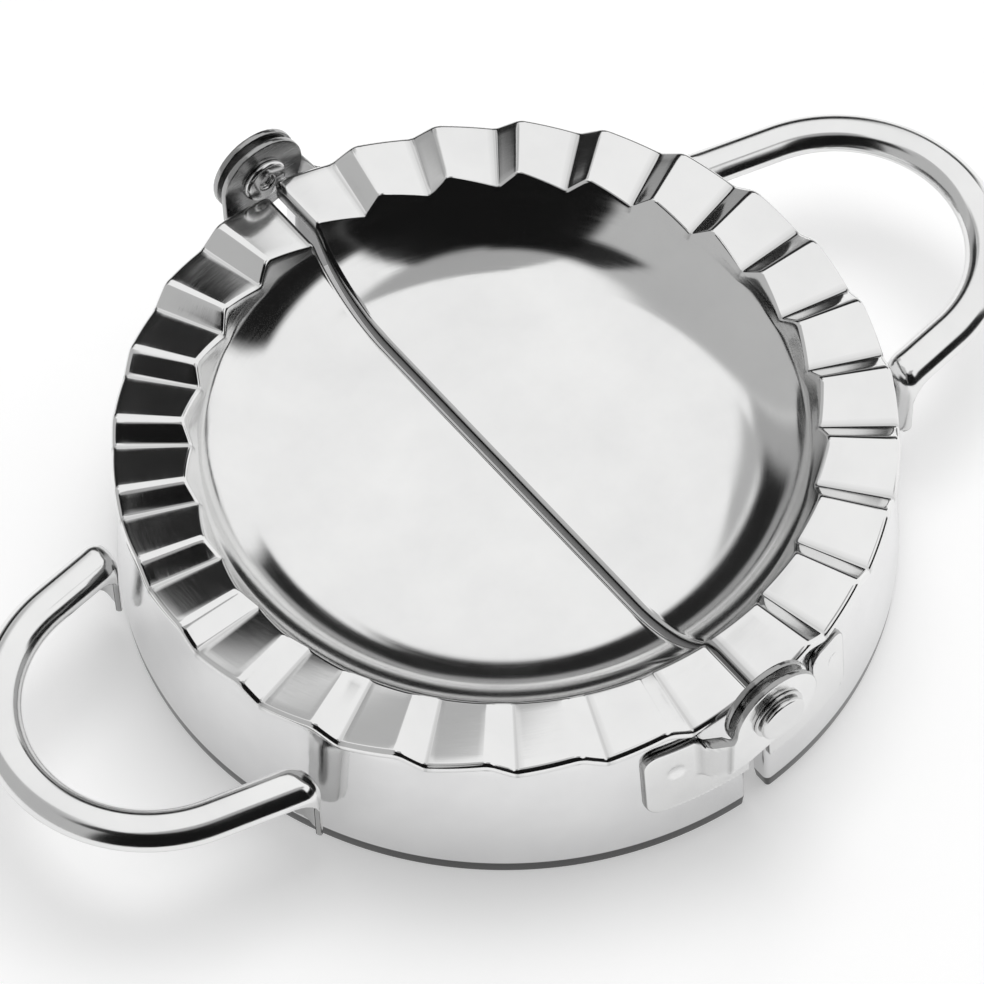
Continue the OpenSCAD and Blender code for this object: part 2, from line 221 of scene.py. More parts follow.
def grid_edge(rows: int, columns: int) -> Array:
    """Points round an open grid, in the order in which its faces run.

    Args:
        rows: Number of rows.
        columns: Points in a row.

    Returns:
        Point numbers, (n,).
    """
    n = rows * columns
    return np.concatenate([
        np.arange(columns - 1),
        np.arange(columns - 1, n - 1, columns),
        np.arange(n - 1, n - columns, -1),
        np.arange(n - columns, 0, -columns),
    ])


def grid_normals(points: Array) -> Array:
    """Unit normals of a grid of points, (rows, columns, 3): the column step crossed with the row step."""
    return unit(np.cross(np.gradient(points, axis=1), np.gradient(points, axis=0)))


def strips(rings: Array) -> Array:
    """Quads between neighbouring rings of point numbers, (rings, around), each ring closed on itself."""
    ahead = np.roll(rings, -1, axis=1)
    return np.stack([rings[:-1], rings[1:], ahead[1:], ahead[:-1]], 2).reshape(-1, 4)


def linked(name: str, data: bpy.types.ID) -> bpy.types.Object:
    """Object of a mesh, a lamp or a camera, put into the scene.

    Args:
        name: Name of the object.
        data: What it shows.

    Returns:
        The object.
    """
    made = bpy.data.objects.new(name, data)
    bpy.context.scene.collection.objects.link(made)
    return made


def stand(made: bpy.types.Object, *columns: Array) -> None:
    """Places an object by its three axes and its origin."""
    made.matrix_world = Matrix(np.column_stack(columns).tolist() + [[0, 0, 0, 1]])


def add_node(tree: bpy.types.NodeTree, kind: str, values: dict | None = None, **settings: object) -> bpy.types.Node:
    """Adds a shader node.

    Args:
        tree: Node tree that it joins.
        kind: Type of the node.
        values: For each input its value, or the socket or node that feeds it. A node feeds by its first output.
        settings: The node's own settings.

    Returns:
        The node.
    """
    new = tree.nodes.new(kind)
    for key, value in settings.items():
        setattr(new, key, value)
    for key, value in (values or {}).items():
        source = value.outputs[0] if isinstance(value, bpy.types.Node) else value
        if isinstance(source, bpy.types.NodeSocket):
            tree.links.new(source, new.inputs[key])
        else:
            new.inputs[key].default_value = source
    return new


@dataclass
class Form:
    """A closed piece in millimetres, with what its finish reads."""

    points: Array  # Its points, (n, 3).
    faces: list[Array]  # Arrays of triangles and of quads.
    grain: Array  # At each point, the way along the grain and across it.
    wear: Array  # At each point, 1 on an edge or a crest and 0 elsewhere.
    dull_and_shade: Array  # At each point, up to 1 on a cut face or where shade is painted, and 0 elsewhere.

    def mirrored_front(self) -> "Form":
        """The form with y turned over, and its faces turned round again."""
        flip = np.array([1.0, -1.0, 1.0])
        return Form(self.points * flip, [f[:, ::-1] for f in self.faces], self.grain, self.wear, self.dull_and_shade)

    def build(self, name: str, half: Half) -> bpy.types.Object:
        """Makes the mesh object.

        Args:
            name: Name of the object.
            half: Half that it is made for, which turns it half a turn for the left one.

        Returns:
            The object, at the origin.
        """
        mesh = bpy.data.meshes.new(name)
        turned = self.points * np.array([half.value, half.value, 1.0]) * MM
        mesh.from_pydata(turned.tolist(), [], [face for part in self.faces for face in part.tolist()])
        grain = mesh.attributes.new("grain", "FLOAT_VECTOR", "POINT")
        grain.data.foreach_set("vector", self.grain.astype(np.float32).ravel())
        for word, values in (("wear", self.wear), ("dull_and_shade", self.dull_and_shade)):
            layer = mesh.attributes.new(word, "FLOAT", "POINT")
            layer.data.foreach_set("value", values.astype(np.float32))
        mesh.shade_smooth()
        mesh.set_sharp_from_angle(angle=math.radians(SHARP))
        return linked(name, mesh)


def close_sheet(upper: Array, lower: Array, faces: list[Array], loops: list[Array], edge_r: float,
                grain: Array, wear: Array, dull_and_shade: Array | float = 0.0) -> Form:
    """Joins the two sides of a sheet by rounded edges.

    With n from the lower side to the upper and e the edge's direction crossed with n, an edge's quarter round is
    the upper point - e * edge_r * (1 - sin q) - n * edge_r * (1 - cos q), for q from 0 to 90 degrees.

    Args:
        upper: Points of the upper side, (n, 3).
        lower: Points of the lower side, in the same order.
        faces: Faces of the upper side, which the lower side repeats turned round.
        loops: Points along each edge, in the order in which the faces run.
        edge_r: Radius of the rounding.
        grain: Grain of the upper side's points.
        wear: Wear of the upper side's points.
        dull_and_shade: Dullness of the upper side's points, with painted shade where it stands for shade. The lower
            side is left as it was rolled, duller, and darkened with painted shade.

    Returns:
        The closed sheet.
    """
    count = len(upper)
    top, under, worn = upper.copy(), lower.copy(), wear.copy()
    parts = list(faces) + [f[:, ::-1] + count for f in faces]
    q = np.radians([45.0, 90.0])[:, None, None]
    added = 2 * len(q)
    rings, grains = [], []
    first = 2 * count
    for loop in loops:
        u, d = upper[loop], lower[loop]
        n = unit(u - d)
        e = np.cross(unit(np.roll(u, -1, axis=0) - np.roll(u, 1, axis=0)), n)
        out, down = e * edge_r * (1 - np.sin(q)), n * edge_r * (1 - np.cos(q))
        rings.append(np.concatenate([u - out - down, (d - out + down)[::-1]]).reshape(-1, 3))
        grains.append(np.tile(grain[loop], (added, 1)))
        top[loop] = u - e * edge_r
        under[loop] = d - e * edge_r
        worn[loop] = EDGE_WEAR
        new = first + np.arange(added * len(loop)).reshape(added, -1)
        parts.append(strips(np.concatenate([[loop], new, [loop + count]])))
        first += new.size
    points = np.concatenate([top, under] + rings)
    grain_all = np.concatenate([grain, grain] + grains)
    edges = first - 2 * count
    wear_all = np.concatenate([worn, worn, np.ones(edges)])
    # Painted shade on the lower side, which is also duller. The cut edges are dull.
    dull_all = np.concatenate([np.zeros(count) + dull_and_shade, np.full(count, UNDER_DULL_AND_SHADE), np.full(edges, EDGE_DULL)])
    return Form(points, parts, grain_all, wear_all, dull_all)


def turned_form(profile: Array, closed: bool, axis_z: float, segments: int = 96) -> Form:
    """Profile carried round the hinge axis: x = r cos a, z = axis_z + r sin a, with y from the profile.

    Args:
        profile: Radius and y along the profile, with the metal on the axis side, (n, 2).
        closed: Whether the profile closes on itself. An open one starts and ends on the axis.
        axis_z: Height of the axis.
        segments: Steps round the axis.

    Returns:
        The turned piece.
    """
    ring = profile if closed else profile[1:-1]
    rows = len(ring)
    a = np.linspace(0, 2 * math.pi, segments, endpoint=False)
    r, y = ring[:, :1], ring[:, 1:]
    points = stacked(r * np.cos(a), y, axis_z + r * np.sin(a)).reshape(-1, 3)
    grain = stacked(r * a, lengths(ring)[:, None], 0.0).reshape(-1, 3)
    rings = np.arange(rows * segments).reshape(rows, segments)
    faces = [strips(np.concatenate([rings, rings[:1]]) if closed else rings)]
    if not closed:
        low, high = len(points), len(points) + 1
        start, end = rings[0], rings[-1]
        faces.append(stacked(low, start, np.roll(start, -1)))
        faces.append(stacked(end, high, np.roll(end, -1)))
        poles = np.array([[0, profile[0, 1], axis_z], [0, profile[-1, 1], axis_z]])
        points = np.concatenate([points, poles])
        grain = np.concatenate([grain, np.zeros((2, 3))])
    return Form(points, faces, grain, np.full(len(points), TURNED_WEAR), np.zeros(len(points)))


class Steel(Enum):
    """The material slots of the press."""

    MOULD = "mould_steel"
    SKIRT = "skirt_steel"
    HANDLE = "handle_steel"
    HINGE = "hinge_steel"
    RIVET = "rivet_steel"
    WASHER = "washer_steel"


@dataclass(frozen=True)
class SteelFinish:
    """Finish of one kind of stainless part."""

    slot: Steel  # Material slot that it dresses.
    tone: Triple  # Colour of the clean metal.
    shade: Triple  # Colour of the metal under the film of handling.
    roughness: float  # Mean roughness.
    spread: float  # How far the roughness goes up and down along the grain.
    film: float  # Roughness added where a thin film of handling lies.
    across: float  # Grain lines in a millimetre.
    along: float  # Changes along a grain line in a millimetre.
    depth: float  # Depth of the grain, in thousandths of a millimetre.
    wave: float  # Depth of the pressed sheet's slow waviness, in thousandths of a millimetre.
    polish: float  # Roughness taken off on worn edges.
    matt: float = 0.14  # Roughness added on dull faces and where shade is painted.
    least: float = 0.03  # Least roughness.
    dull_and_painted_shade: Triple = (0.12, 0.12, 0.12)  # Colour by which a dull face is multiplied; it paints shade where the dullness stands for shade.
    slant: float = 0.6  # Angle of the scratches to the grain, in radians.
    hair: Pair = (0.35, 9.0)  # Changes along a scratch and across it, in a millimetre.
    score: float = 0.6  # Strength of the scratches in the bump.
    cloud: float = 70.0  # Scale of the film's clouds, in one metre.
    swell: float = 38.0  # Scale of the waviness, in one metre.
    line_span: Pair = (0.3, 0.7)  # Levels of the grain's noise between which the roughness changes.
    hair_span: Pair = (0.66, 0.74)  # Levels of the scratches' noise between which they deepen.
    film_span: Pair = (0.42, 0.72)  # Levels of the clouds' noise between which the film grows.
    tone_span: Pair = (0.25, 0.85)  # Levels of the clouds' noise between which the colour changes.

    def material(self) -> bpy.types.Material:
        """Builds the procedural material.

        The roughness is the mean plus the grain's and the film's parts, less the polish on worn edges, plus the
        matt of dull faces. The bump adds the grain, fine scratches that cross it at a slant, and the slow wave.

        Returns:
            The material, which reads the piece's own grain, wear, and dullness with painted shade, and its Object
            coordinates.
        """
        made = bpy.data.materials.new(self.slot.value)
        made.use_nodes = True
        tree = made.node_tree
        shader = tree.nodes["Principled BSDF"]
        shader.inputs["Metallic"].default_value = 1.0
        node = partial(add_node, tree)

        def ranged(noise: bpy.types.Node, span: Pair, low: float, high: float) -> bpy.types.Node:
            """Carries a span of a noise's levels to the values from low to high."""
            return node("ShaderNodeMapRange", {
                "Value": noise, "From Min": span[0], "From Max": span[1], "To Min": low, "To Max": high})

        grain = node("ShaderNodeAttribute", attribute_name="grain").outputs["Vector"]
        wear = node("ShaderNodeAttribute", attribute_name="wear").outputs["Fac"]
        dull_and_shade = node("ShaderNodeAttribute", attribute_name="dull_and_shade").outputs["Fac"]
        place = node("ShaderNodeTexCoord").outputs["Object"]
        stretched = node("ShaderNodeMapping", {"Vector": grain, "Scale": (self.along, self.across, 1.0)})
        lines = node("ShaderNodeTexNoise", {"Vector": stretched, "Scale": 1.0, "Detail": 3.0})
        slanted = node("ShaderNodeMapping", {
            "Vector": grain, "Rotation": (0.0, 0.0, self.slant), "Scale": (*self.hair, 1.0)})
        hair = node("ShaderNodeTexNoise", {"Vector": slanted, "Scale": 1.0, "Detail": 1.0})
        cloud = node("ShaderNodeTexNoise", {"Vector": place, "Scale": self.cloud, "Detail": 4.0, "Roughness": 0.6})
        slow = node("ShaderNodeTexNoise", {"Vector": place, "Scale": self.swell, "Detail": 0.0})
        scratch = ranged(hair, self.hair_span, 0.0, 1.0)
        film = ranged(cloud, self.film_span, 0.0, self.film)
        rough = ranged(lines, self.line_span, self.roughness - self.spread, self.roughness + self.spread)
        filmed = node("ShaderNodeMath", {0: rough, 1: film}, operation="ADD")
        worn = node("ShaderNodeMath", {0: wear, 1: -self.polish, 2: filmed}, operation="MULTIPLY_ADD")
        matt = node("ShaderNodeMath", {0: dull_and_shade, 1: self.matt, 2: worn}, operation="MULTIPLY_ADD")
        clean = node("ShaderNodeMath", {0: matt, 1: self.least}, operation="MAXIMUM")
        tree.links.new(clean.outputs[0], shader.inputs["Roughness"])
        tones = node("ShaderNodeValToRGB", {"Fac": cloud})
        for stop, level, colour in zip(tones.color_ramp.elements, self.tone_span, (self.tone, self.shade)):
            stop.position = level
            stop.color = (*colour, 1.0)
        # Painted shade: the colour is darkened by the dullness, which also marks shade in valleys, creases, at the
        # seam, on the skirt's bevel and on hidden sides.
        dull_and_painted_shade = node("ShaderNodeMixRGB", {
            "Fac": dull_and_shade, "Color1": tones, "Color2": (*self.dull_and_painted_shade, 1.0)}, blend_type="MULTIPLY")
        tree.links.new(dull_and_painted_shade.outputs["Color"], shader.inputs["Base Color"])
        wave = node("ShaderNodeBump", {"Strength": 1.0, "Distance": self.wave * MICRON, "Height": slow})
        depth = self.depth * MICRON
        scored = node("ShaderNodeBump", {
            "Strength": self.score, "Distance": depth, "Height": scratch, "Normal": wave}, invert=True)
        brushed = node("ShaderNodeBump", {"Strength": 1.0, "Distance": depth, "Height": lines, "Normal": scored})
        tree.links.new(brushed.outputs["Normal"], shader.inputs["Normal"])
        return made


FINISHES = (
    SteelFinish(Steel.MOULD, (0.85, 0.85, 0.845), (0.76, 0.76, 0.76), 0.09, 0.02, 0.05, 5.0, 0.12, 1.0, 60.0, 0.04),
    SteelFinish(Steel.SKIRT, (0.84, 0.84, 0.84), (0.74, 0.74, 0.745), 0.12, 0.03, 0.05, 6.0, 0.06, 1.6, 26.0, 0.03),
    SteelFinish(Steel.HANDLE, (0.86, 0.86, 0.855), (0.76, 0.76, 0.76), 0.13, 0.03, 0.06, 5.0, 0.08, 1.6, 14.0, 0.05),
    SteelFinish(Steel.HINGE, (0.85, 0.85, 0.845), (0.74, 0.74, 0.74), 0.14, 0.04, 0.06, 5.0, 0.08, 2.0, 12.0, 0.06),
    SteelFinish(Steel.RIVET, (0.80, 0.80, 0.795), (0.66, 0.66, 0.66), 0.16, 0.04, 0.05, 8.0, 0.05, 2.0, 6.0, 0.06),
    SteelFinish(Steel.WASHER, (0.74, 0.74, 0.735), (0.60, 0.60, 0.60), 0.20, 0.05, 0.05, 6.0, 0.2, 2.0, 6.0, 0.06),
)


class Dresser:
    """Gives finished pieces their material, body, slot and the node that they stand for."""

    def __init__(self) -> None:
        """Builds every finish once."""
        self.materials = {finish.slot: finish.material() for finish in FINISHES}

    def dress(self, form: Form, name: str, half: Half, node: str, steel: Steel) -> None:
        """Makes a piece of a form and reports it.

        Args:
            form: Shape of the piece, for the right half.
            name: Name of the piece.
            half: Half that it belongs to.
            node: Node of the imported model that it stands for.
            steel: Slot of its finish.
        """
        piece = form.build(name, half)
        piece.data.materials.append(self.materials[steel])
        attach(piece, half.body)
        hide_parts(node)
        log.info("%s: %d points for %s", name, len(form.points), node)


@dataclass
class PleatedMould:
    """One half of the mould: pleated rim, bowl, lip and seam flange in one sheet."""

    rim_r: float = 47.8  # Outer radius of the rim.
    rim_z: float = 22.0  # Height of the mean rim surface.
    pleats: int = 14  # Wide faces round one half.
    narrow: float = 3.8  # Angle of a narrow face, in degrees.
    pleat_h: float = 1.75  # Height of a pleat.
    crest: float = 0.9  # Half of the angle over which a crest is rounded.
    valley: float = 0.5  # Half of the angle over which a valley is rounded.
    lip_h: float = 1.1  # Depth of the lip.
    rim_w: float = 10.6  # Width of the rim.
    shoulder_d: float = 2.2  # Depth of the shoulder line.
    slope: float = 57.8  # Slope of the short wall, in degrees.
    wall_w: float = 12.7  # Width of the curved wall.
    floor_d: float = 8.3  # Depth of the floor.
    sheet_t: float = 0.6  # Thickness of the sheet.
    bend_r: float = 0.75  # Outer radius of the bends.
    seam_gap: float = 1.0  # Gap at the seam.
    flange: float = 2.5  # Depth of the seam flange.
    edge_r: float = 0.12  # Rounding of the sheet's edge.
    worn: Pair = (0.8, 1.0)  # Relative heights between which the wear of a crest grows.
    valley_shade_heights: Pair = (-0.84, -0.96)  # Relative heights between which the painted shade along a valley grows.
    crease_painted_shade: float = 0.4  # Strength of that painted shade.
    crease_end: float = 0.4  # Distance of that shade's inner end from the shoulder line.
    seam_painted_shade: float = 0.9  # Painted shade on the seam flange, for the dark gap between the halves.
    seam_shade_levels: Pair = (1.5, 5.5)  # Levels of the border between which that painted shade grows.
    along: tuple[int, int, int, int] = (3, 8, 9, 3)  # Lines on half a valley, a wide face, a crest, a narrow face.
    # Points across the rim, its bend, the short wall, the curved wall and the floor.
    across: tuple[int, int, int, int, int] = (9, 7, 3, 25, 14)
    levels: int = 8  # Levels of points down the border, round its bend and at its edge.
    fill: int = 5  # Points that turn each corner between the lip and the seam flange.

    @property
    def seam_x(self) -> float:
        """Distance from the seam to where its flange turns down."""
        return self.seam_gap / 2 + self.bend_r

    @property
    def rim_edge(self) -> float:
        """Angle at which the rim meets the seam, in degrees."""
        return float(self.edge_angle(np.array(self.rim_r)))

    @property
    def wide(self) -> float:
        """Angle of a wide face."""
        return (2 * self.rim_edge - (self.pleats - 1) * self.narrow) / self.pleats

    def edge_angle(self, r: Array) -> Array:
        """Angle at which a circle of a radius meets the seam: 90 degrees less the arcsine of seam_x / r."""
        return 90 - np.degrees(np.arcsin(np.clip(self.seam_x / r, -1, 1)))

    def columns(self) -> Array:
        """Angles of all lines across the rim, close together on crests and in valleys.

        Returns:
            The angles in degrees, from one end of the half to the other.
        """
        pitch = self.wide + self.narrow
        valley_n, wide_n, crest_n, narrow_n = self.along
        valley = self.valley * np.linspace(0, 1, valley_n)
        steps = np.concatenate([
            valley,
            np.linspace(self.valley, self.wide - self.crest, wide_n + 2)[1:-1],
            self.wide + self.crest * np.linspace(-1, 1, crest_n),
            np.linspace(self.wide + self.crest, pitch - self.valley, narrow_n + 2)[1:-1],
            pitch - valley[:0:-1],
        ])
        angle = (-self.rim_edge + pitch * np.arange(self.pleats)[:, None] + steps).ravel()
        return np.append(angle[angle < self.rim_edge - 1e-6], self.rim_edge)

    def height(self, angle: Array) -> Array:
        """Relative height of the pleats, from -1 to 1.

        It rises evenly over a wide face and falls evenly over a narrow one. A parabola that touches both faces
        rounds each crest and each valley.

        Args:
            angle: Angles round the rim, in degrees.

        Returns:
            The heights.
        """
        rise, fall = 2 / self.wide, 2 / self.narrow
        way = np.mod(angle + self.rim_edge + 1e-9, self.wide + self.narrow) - 1e-9
        flat = np.where(way <= self.wide, -1 + rise * way, 1 - fall * (way - self.wide))
        a = way - self.wide
        top = 1 - (rise + fall) * self.crest / 4 + (rise - fall) / 2 * a - (rise + fall) / (4 * self.crest) * a * a
        b = np.where(way > self.wide, way - self.wide - self.narrow, way)
        low = -1 + (rise + fall) * self.valley / 4 + (rise - fall) / 2 * b + (rise + fall) / (4 * self.valley) * b * b
        inner = np.abs(angle) < self.rim_edge - self.crest
        return np.where(inner & (np.abs(a) < self.crest), top, np.where(inner & (np.abs(b) < self.valley), low, flat))

    def section(self, top: Array) -> Section:
        """Section of the sheet under each line of the rim.

        From the lip inwards: level rim, convex bend, short wall, concave arc that ends level, level floor.

        Args:
            top: Height of the rim on each line, (c,).

        Returns:
            Radius, height and slope in degrees, each (c, rows). The last row is at the middle of the seam.
        """
        rim_n, bend_n, short_n, arc_n, floor_n = self.across
        top, level = top[:, None], np.ones((len(top), 1))
        slope = math.radians(self.slope)
        edge = self.rim_r - self.rim_w + (top - self.rim_z + self.shoulder_d) / math.tan(slope)
        corner = edge + self.bend_r * math.tan(slope / 2)
        t = np.linspace(0, 1, rim_n)
        outer = self.rim_r - self.bend_r
        rim = (outer + (corner - outer) * t, top + 0 * t, 0 * level * t)
        a = slope * np.linspace(0, 1, bend_n + 1)[1:]
        bend = (corner - self.bend_r * np.sin(a), top - self.bend_r * (1 - np.cos(a)), level * np.degrees(a))
        wall_h = self.floor_d - self.shoulder_d
        wall_r = (self.wall_w**2 + wall_h**2) / (2 * wall_h)
        wall_a = math.asin(self.wall_w / wall_r)
        shoulder_r, shoulder_z = self.rim_r - self.rim_w, self.rim_z - self.shoulder_d
        t = np.linspace(0, 1, short_n + 2)[1:-1]
        short = (
            bend[0][:, -1:] * (1 - t) + shoulder_r * t,
            bend[1][:, -1:] * (1 - t) + shoulder_z * t,
            level * (self.slope * (1 - t) + math.degrees(wall_a) * t),
        )
        b = wall_a * np.linspace(1, 0, arc_n)
        floor_r, floor_z = shoulder_r - self.wall_w, self.rim_z - self.floor_d
        arc = (
            level * (floor_r + wall_r * np.sin(b)),
            level * (floor_z + wall_r * (1 - np.cos(b))),
            level * np.degrees(b),
        )
        t = np.linspace(0, 1, floor_n + 1)[1:]
        floor = (level * (floor_r + (self.seam_x - floor_r) * t), level * (floor_z + 0 * t), level * 0 * t)
        return tuple(np.concatenate(part, axis=1) for part in zip(rim, bend, short, arc, floor))

    def sheet(self, angle: Array, section: Section, depth: float) -> Array:
        """Points of the sheet on its upper side (depth 0) or its underside (depth sheet_t).

        A point's angle is its line's angle times edge_angle(r) / rim_edge, so all rows end at the seam.

        Args:
            angle: Angles of the lines at the rim, (c,).
            section: Radius, height and slope, each (c, rows).
            depth: Depth below the upper side.

        Returns:
            Points, (c, rows, 3).
        """
        r, z, slope = section
        lean = np.radians(slope)
        r, z = r + depth * np.sin(lean), z - depth * np.cos(lean)
        a = np.radians(angle[:, None] * self.edge_angle(r) / self.rim_edge)
        return stacked(r * np.cos(a), r * np.sin(a), z)

    def marks(self, angle: Array, height: Array, section: Section, base: Array,
              at_seam: Array) -> tuple[Array, Array, Array]:
        """Grain, wear, and dullness with painted shade, of the upper side, from the grid's points down the levels of
        the border.

        Args:
            angle: Angles of the lines at the rim, (c,).
            height: Relative height of the pleats on each line, (c,).
            section: Radius, height and slope, each (c, rows).
            base: Points of the grid from which the border goes down.
            at_seam: Which of them lie along the seam.

        Returns:
            The three, at all points of the grid and of the border.
        """
        rows = section[0].shape[1] - 1

        def over_grid(values: Array) -> Array:
            """Values of the lines at all points of the grid, and 0 at its last point."""
            return np.append(np.repeat(values, rows), 0.0)

        r, z, lean = (np.append(part[:, :rows], part[:1, rows]) for part in section)
        grain = stacked(over_grid(np.radians(angle)) * r, r, z)
        grain = np.concatenate([grain, np.tile(grain[base], (self.levels, 1))])
        inner = self.rim_r - self.rim_w
        crest = over_grid(grown(height, self.worn)) * (lean < 1) * (r > inner)
        wear = np.concatenate([crest, np.tile(crest[base], self.levels)])
        # Painted shade along each valley of the pleats.
        valley_shade = self.crease_painted_shade * over_grid(grown(height, self.valley_shade_heights)) * (r > inner + self.crease_end)
        level = grown(np.arange(self.levels)[:, None], self.seam_shade_levels)
        # Painted shade on the seam flange, where the gap between the halves lies dark.
        seam_painted_shade = self.seam_painted_shade * level * at_seam
        return grain, wear, np.concatenate([valley_shade, np.maximum(valley_shade[base], seam_painted_shade).ravel()])

    def form(self) -> Form:
        """Builds the half mould.

        The rim and bowl are a grid whose last row is one point. Round it goes a border that bends down by a
        quarter turn: base + r sin q outwards and - r (1 - cos q) in height, then straight down to its depth.

        Returns:
            The closed sheet.
        """
        angle = self.columns()
        height = self.height(angle)
        section = self.section(self.rim_z + self.pleat_h / 2 * height)
        sides = [self.sheet(angle, section, depth) for depth in (0.0, self.sheet_t)]
        lines, rows = section[0].shape
        rows -= 1
        pole = lines * rows
        quads = np.roll(grid_faces(lines, rows)[:, ::-1], 1, axis=1)
        last = np.arange(lines - 1) * rows + rows - 1
        fan = stacked(last, last + rows, pole)

        share = np.arange(1, self.fill + 1) / (self.fill + 1)
        corner_way = self.rim_edge + share * (180 - self.rim_edge)
        corner_depth = self.lip_h + share * (self.flange - self.lip_h)
        end = (lines - 1) * rows
        seam = np.concatenate([end + np.arange(rows), [pole], np.arange(rows)[::-1]])
        base = np.concatenate([
            np.arange(lines) * rows, np.full(self.fill, end), seam, np.zeros(self.fill, int)])
        way = np.radians(np.concatenate([angle, corner_way, np.full(len(seam), 180.0), -corner_way[::-1]]))
        depth = np.concatenate([
            np.full(lines, self.lip_h), corner_depth, np.full(len(seam), self.flange), corner_depth[::-1]])
        out = stacked(np.cos(way), np.sin(way), 0.0)
        down = np.array([0.0, 0.0, 1.0])
        bends = np.radians(np.linspace(0, 90, self.levels)[1:])[:, None, None]

        surfaces = []
        flat = [np.concatenate([s[:, :rows].reshape(-1, 3), s[:1, rows]]) for s in sides]
        for points, r in zip(flat, (self.bend_r, self.bend_r - self.sheet_t)):
            rings = points[base] + r * np.sin(bends) * out - r * (1 - np.cos(bends)) * down
            free = flat[0][base] + r * out - depth[:, None] * down
            surfaces.append(np.concatenate([points, rings.reshape(-1, 3), free]))
        count, around = pole + 1, len(base)
        ring = np.concatenate([[base], count + np.arange(self.levels * around).reshape(-1, around)])
        border = np.roll(strips(ring), -1, axis=1)
        split = border[:, 2] == border[:, 3]

        grain, wear, dull_and_shade = self.marks(angle, height, section, base, np.isclose(way, math.pi))
        faces = [quads, fan, border[~split], border[split][:, :3]]
        return close_sheet(surfaces[0], surfaces[1], faces, [ring[-1]], self.edge_r, grain, wear, dull_and_shade)


@dataclass
class SkirtBand:
    """Band under the rim, with its ends turned in and its lower edge bevelled."""

    top_r: float = 47.0  # Outer radius at the top.
    foot_r: float = 48.7  # Outer radius at the table, before the bevel.
    top: float = 20.475  # Height of the band.
    sheet_t: float = 0.7  # Thickness.
    bevel_h: float = 1.9  # Height of the bevel.
    land: float = 0.4  # Thickness left at the edge.
    end: float = 1.5  # Distance from the seam to the band's end.
    flange: float = 2.4  # Depth of the end turned in.
    bend_r: float = 0.76  # Outer radius of that bend.
    # Rounding of the section's corners, from the bevel's foot up the outer face and down the inner.
    rounding: tuple[float, ...] = (0.06, 1.6, 0.22, 0.22, 0.1)
    spacing: float = 2.4  # Greatest distance between points of the section.
    # Stations along half the arc, round the bend and along the end turned in.
    stations: tuple[int, int, int] = (90, 10, 5)
    worn: Pair = (0.3, 0.8)  # Width of the worn stretch at an edge, and its wear.
    # Width over which the bevel's painted shade grows, and the painted shade of the inner face.
    dull_and_painted_shade: Pair = (0.12, 0.3)

    def radius(self, z: Array) -> Array:
        """Outer radius at a height."""
        return self.foot_r - (self.foot_r - self.top_r) / self.top * z

    def profile(self) -> Array:
        """Section of the band, up the outer face and down the inner.

        Returns:
            Height, and depth from the outer face, (n, 2).
        """
        cut = self.sheet_t - self.land
        corners = np.array([
            [0.0, cut], [self.bevel_h, 0.0], [self.top, 0.0], [self.top, self.sheet_t], [0.0, self.sheet_t]])
        return evenly_filled(rounded(corners, np.array(self.rounding), steps=5, closed=True), self.spacing)

    def form(self) -> Form:
        """Builds the band.

        In plan the outer face is an arc, then a bend of bend_r, then a straight end beside the seam. A point of
        the section is set in from it along its normal, which turns with the arc and with the bend.

        Returns:
            The closed band.
        """
        z, depth = self.profile().T
        r = self.radius(z)
        limit = np.arccos((self.end + self.bend_r) / (r - self.bend_r))
        arc_n, bend_n, end_n = self.stations
        arc_way = limit * np.linspace(0, 1, arc_n)[:, None]
        arc = r[:, None] * circle(arc_way)
        bend_way = limit + (math.pi - limit) * np.linspace(0, 1, bend_n)[1:, None]
        centre = stacked(self.end + self.bend_r, (r - self.bend_r) * np.sin(limit))
        bend = centre + self.bend_r * circle(bend_way)
        run = (centre[:, 1] - (r - self.flange)) * np.linspace(0, 1, end_n)[1:, None]
        straight = stacked(self.end, centre[:, 1] - run)
        way = np.concatenate([arc_way, bend_way, np.full(run.shape, math.pi)])
        plan = np.concatenate([arc, bend, straight]) - depth[:, None] * circle(way)
        rear = np.concatenate([plan, np.broadcast_to(z, way.shape)[..., None]], 2)
        points = np.concatenate([(rear * np.array([1.0, -1.0, 1.0]))[:0:-1], rear])
        rings = np.arange(points[..., 0].size).reshape(points.shape[:2])
        grain = stacked(lengths(points[:, 0])[:, None], z, depth).reshape(-1, 3)
        worn_w, worn = self.worn
        bevel_shade_h, inner_shade = self.dull_and_painted_shade
        near = np.minimum(np.minimum(z, np.abs(z - self.bevel_h)), self.top - z)
        wear = worn * np.clip(1 - near / worn_w, 0, 1)
        # Painted reflection of the dark ground at the foot: the bevel darkens towards the table. The hidden inner
        # face gets painted shade.
        dull_and_shade = np.where(depth < self.sheet_t / 2, np.clip((self.bevel_h - z) / bevel_shade_h, 0, 1), inner_shade)
        wear, dull_and_shade = (np.broadcast_to(layer, rings.shape).ravel() for layer in (wear, dull_and_shade))
        return Form(points.reshape(-1, 3), [strips(rings), rings[:1], rings[-1:, ::-1]], grain, wear, dull_and_shade)


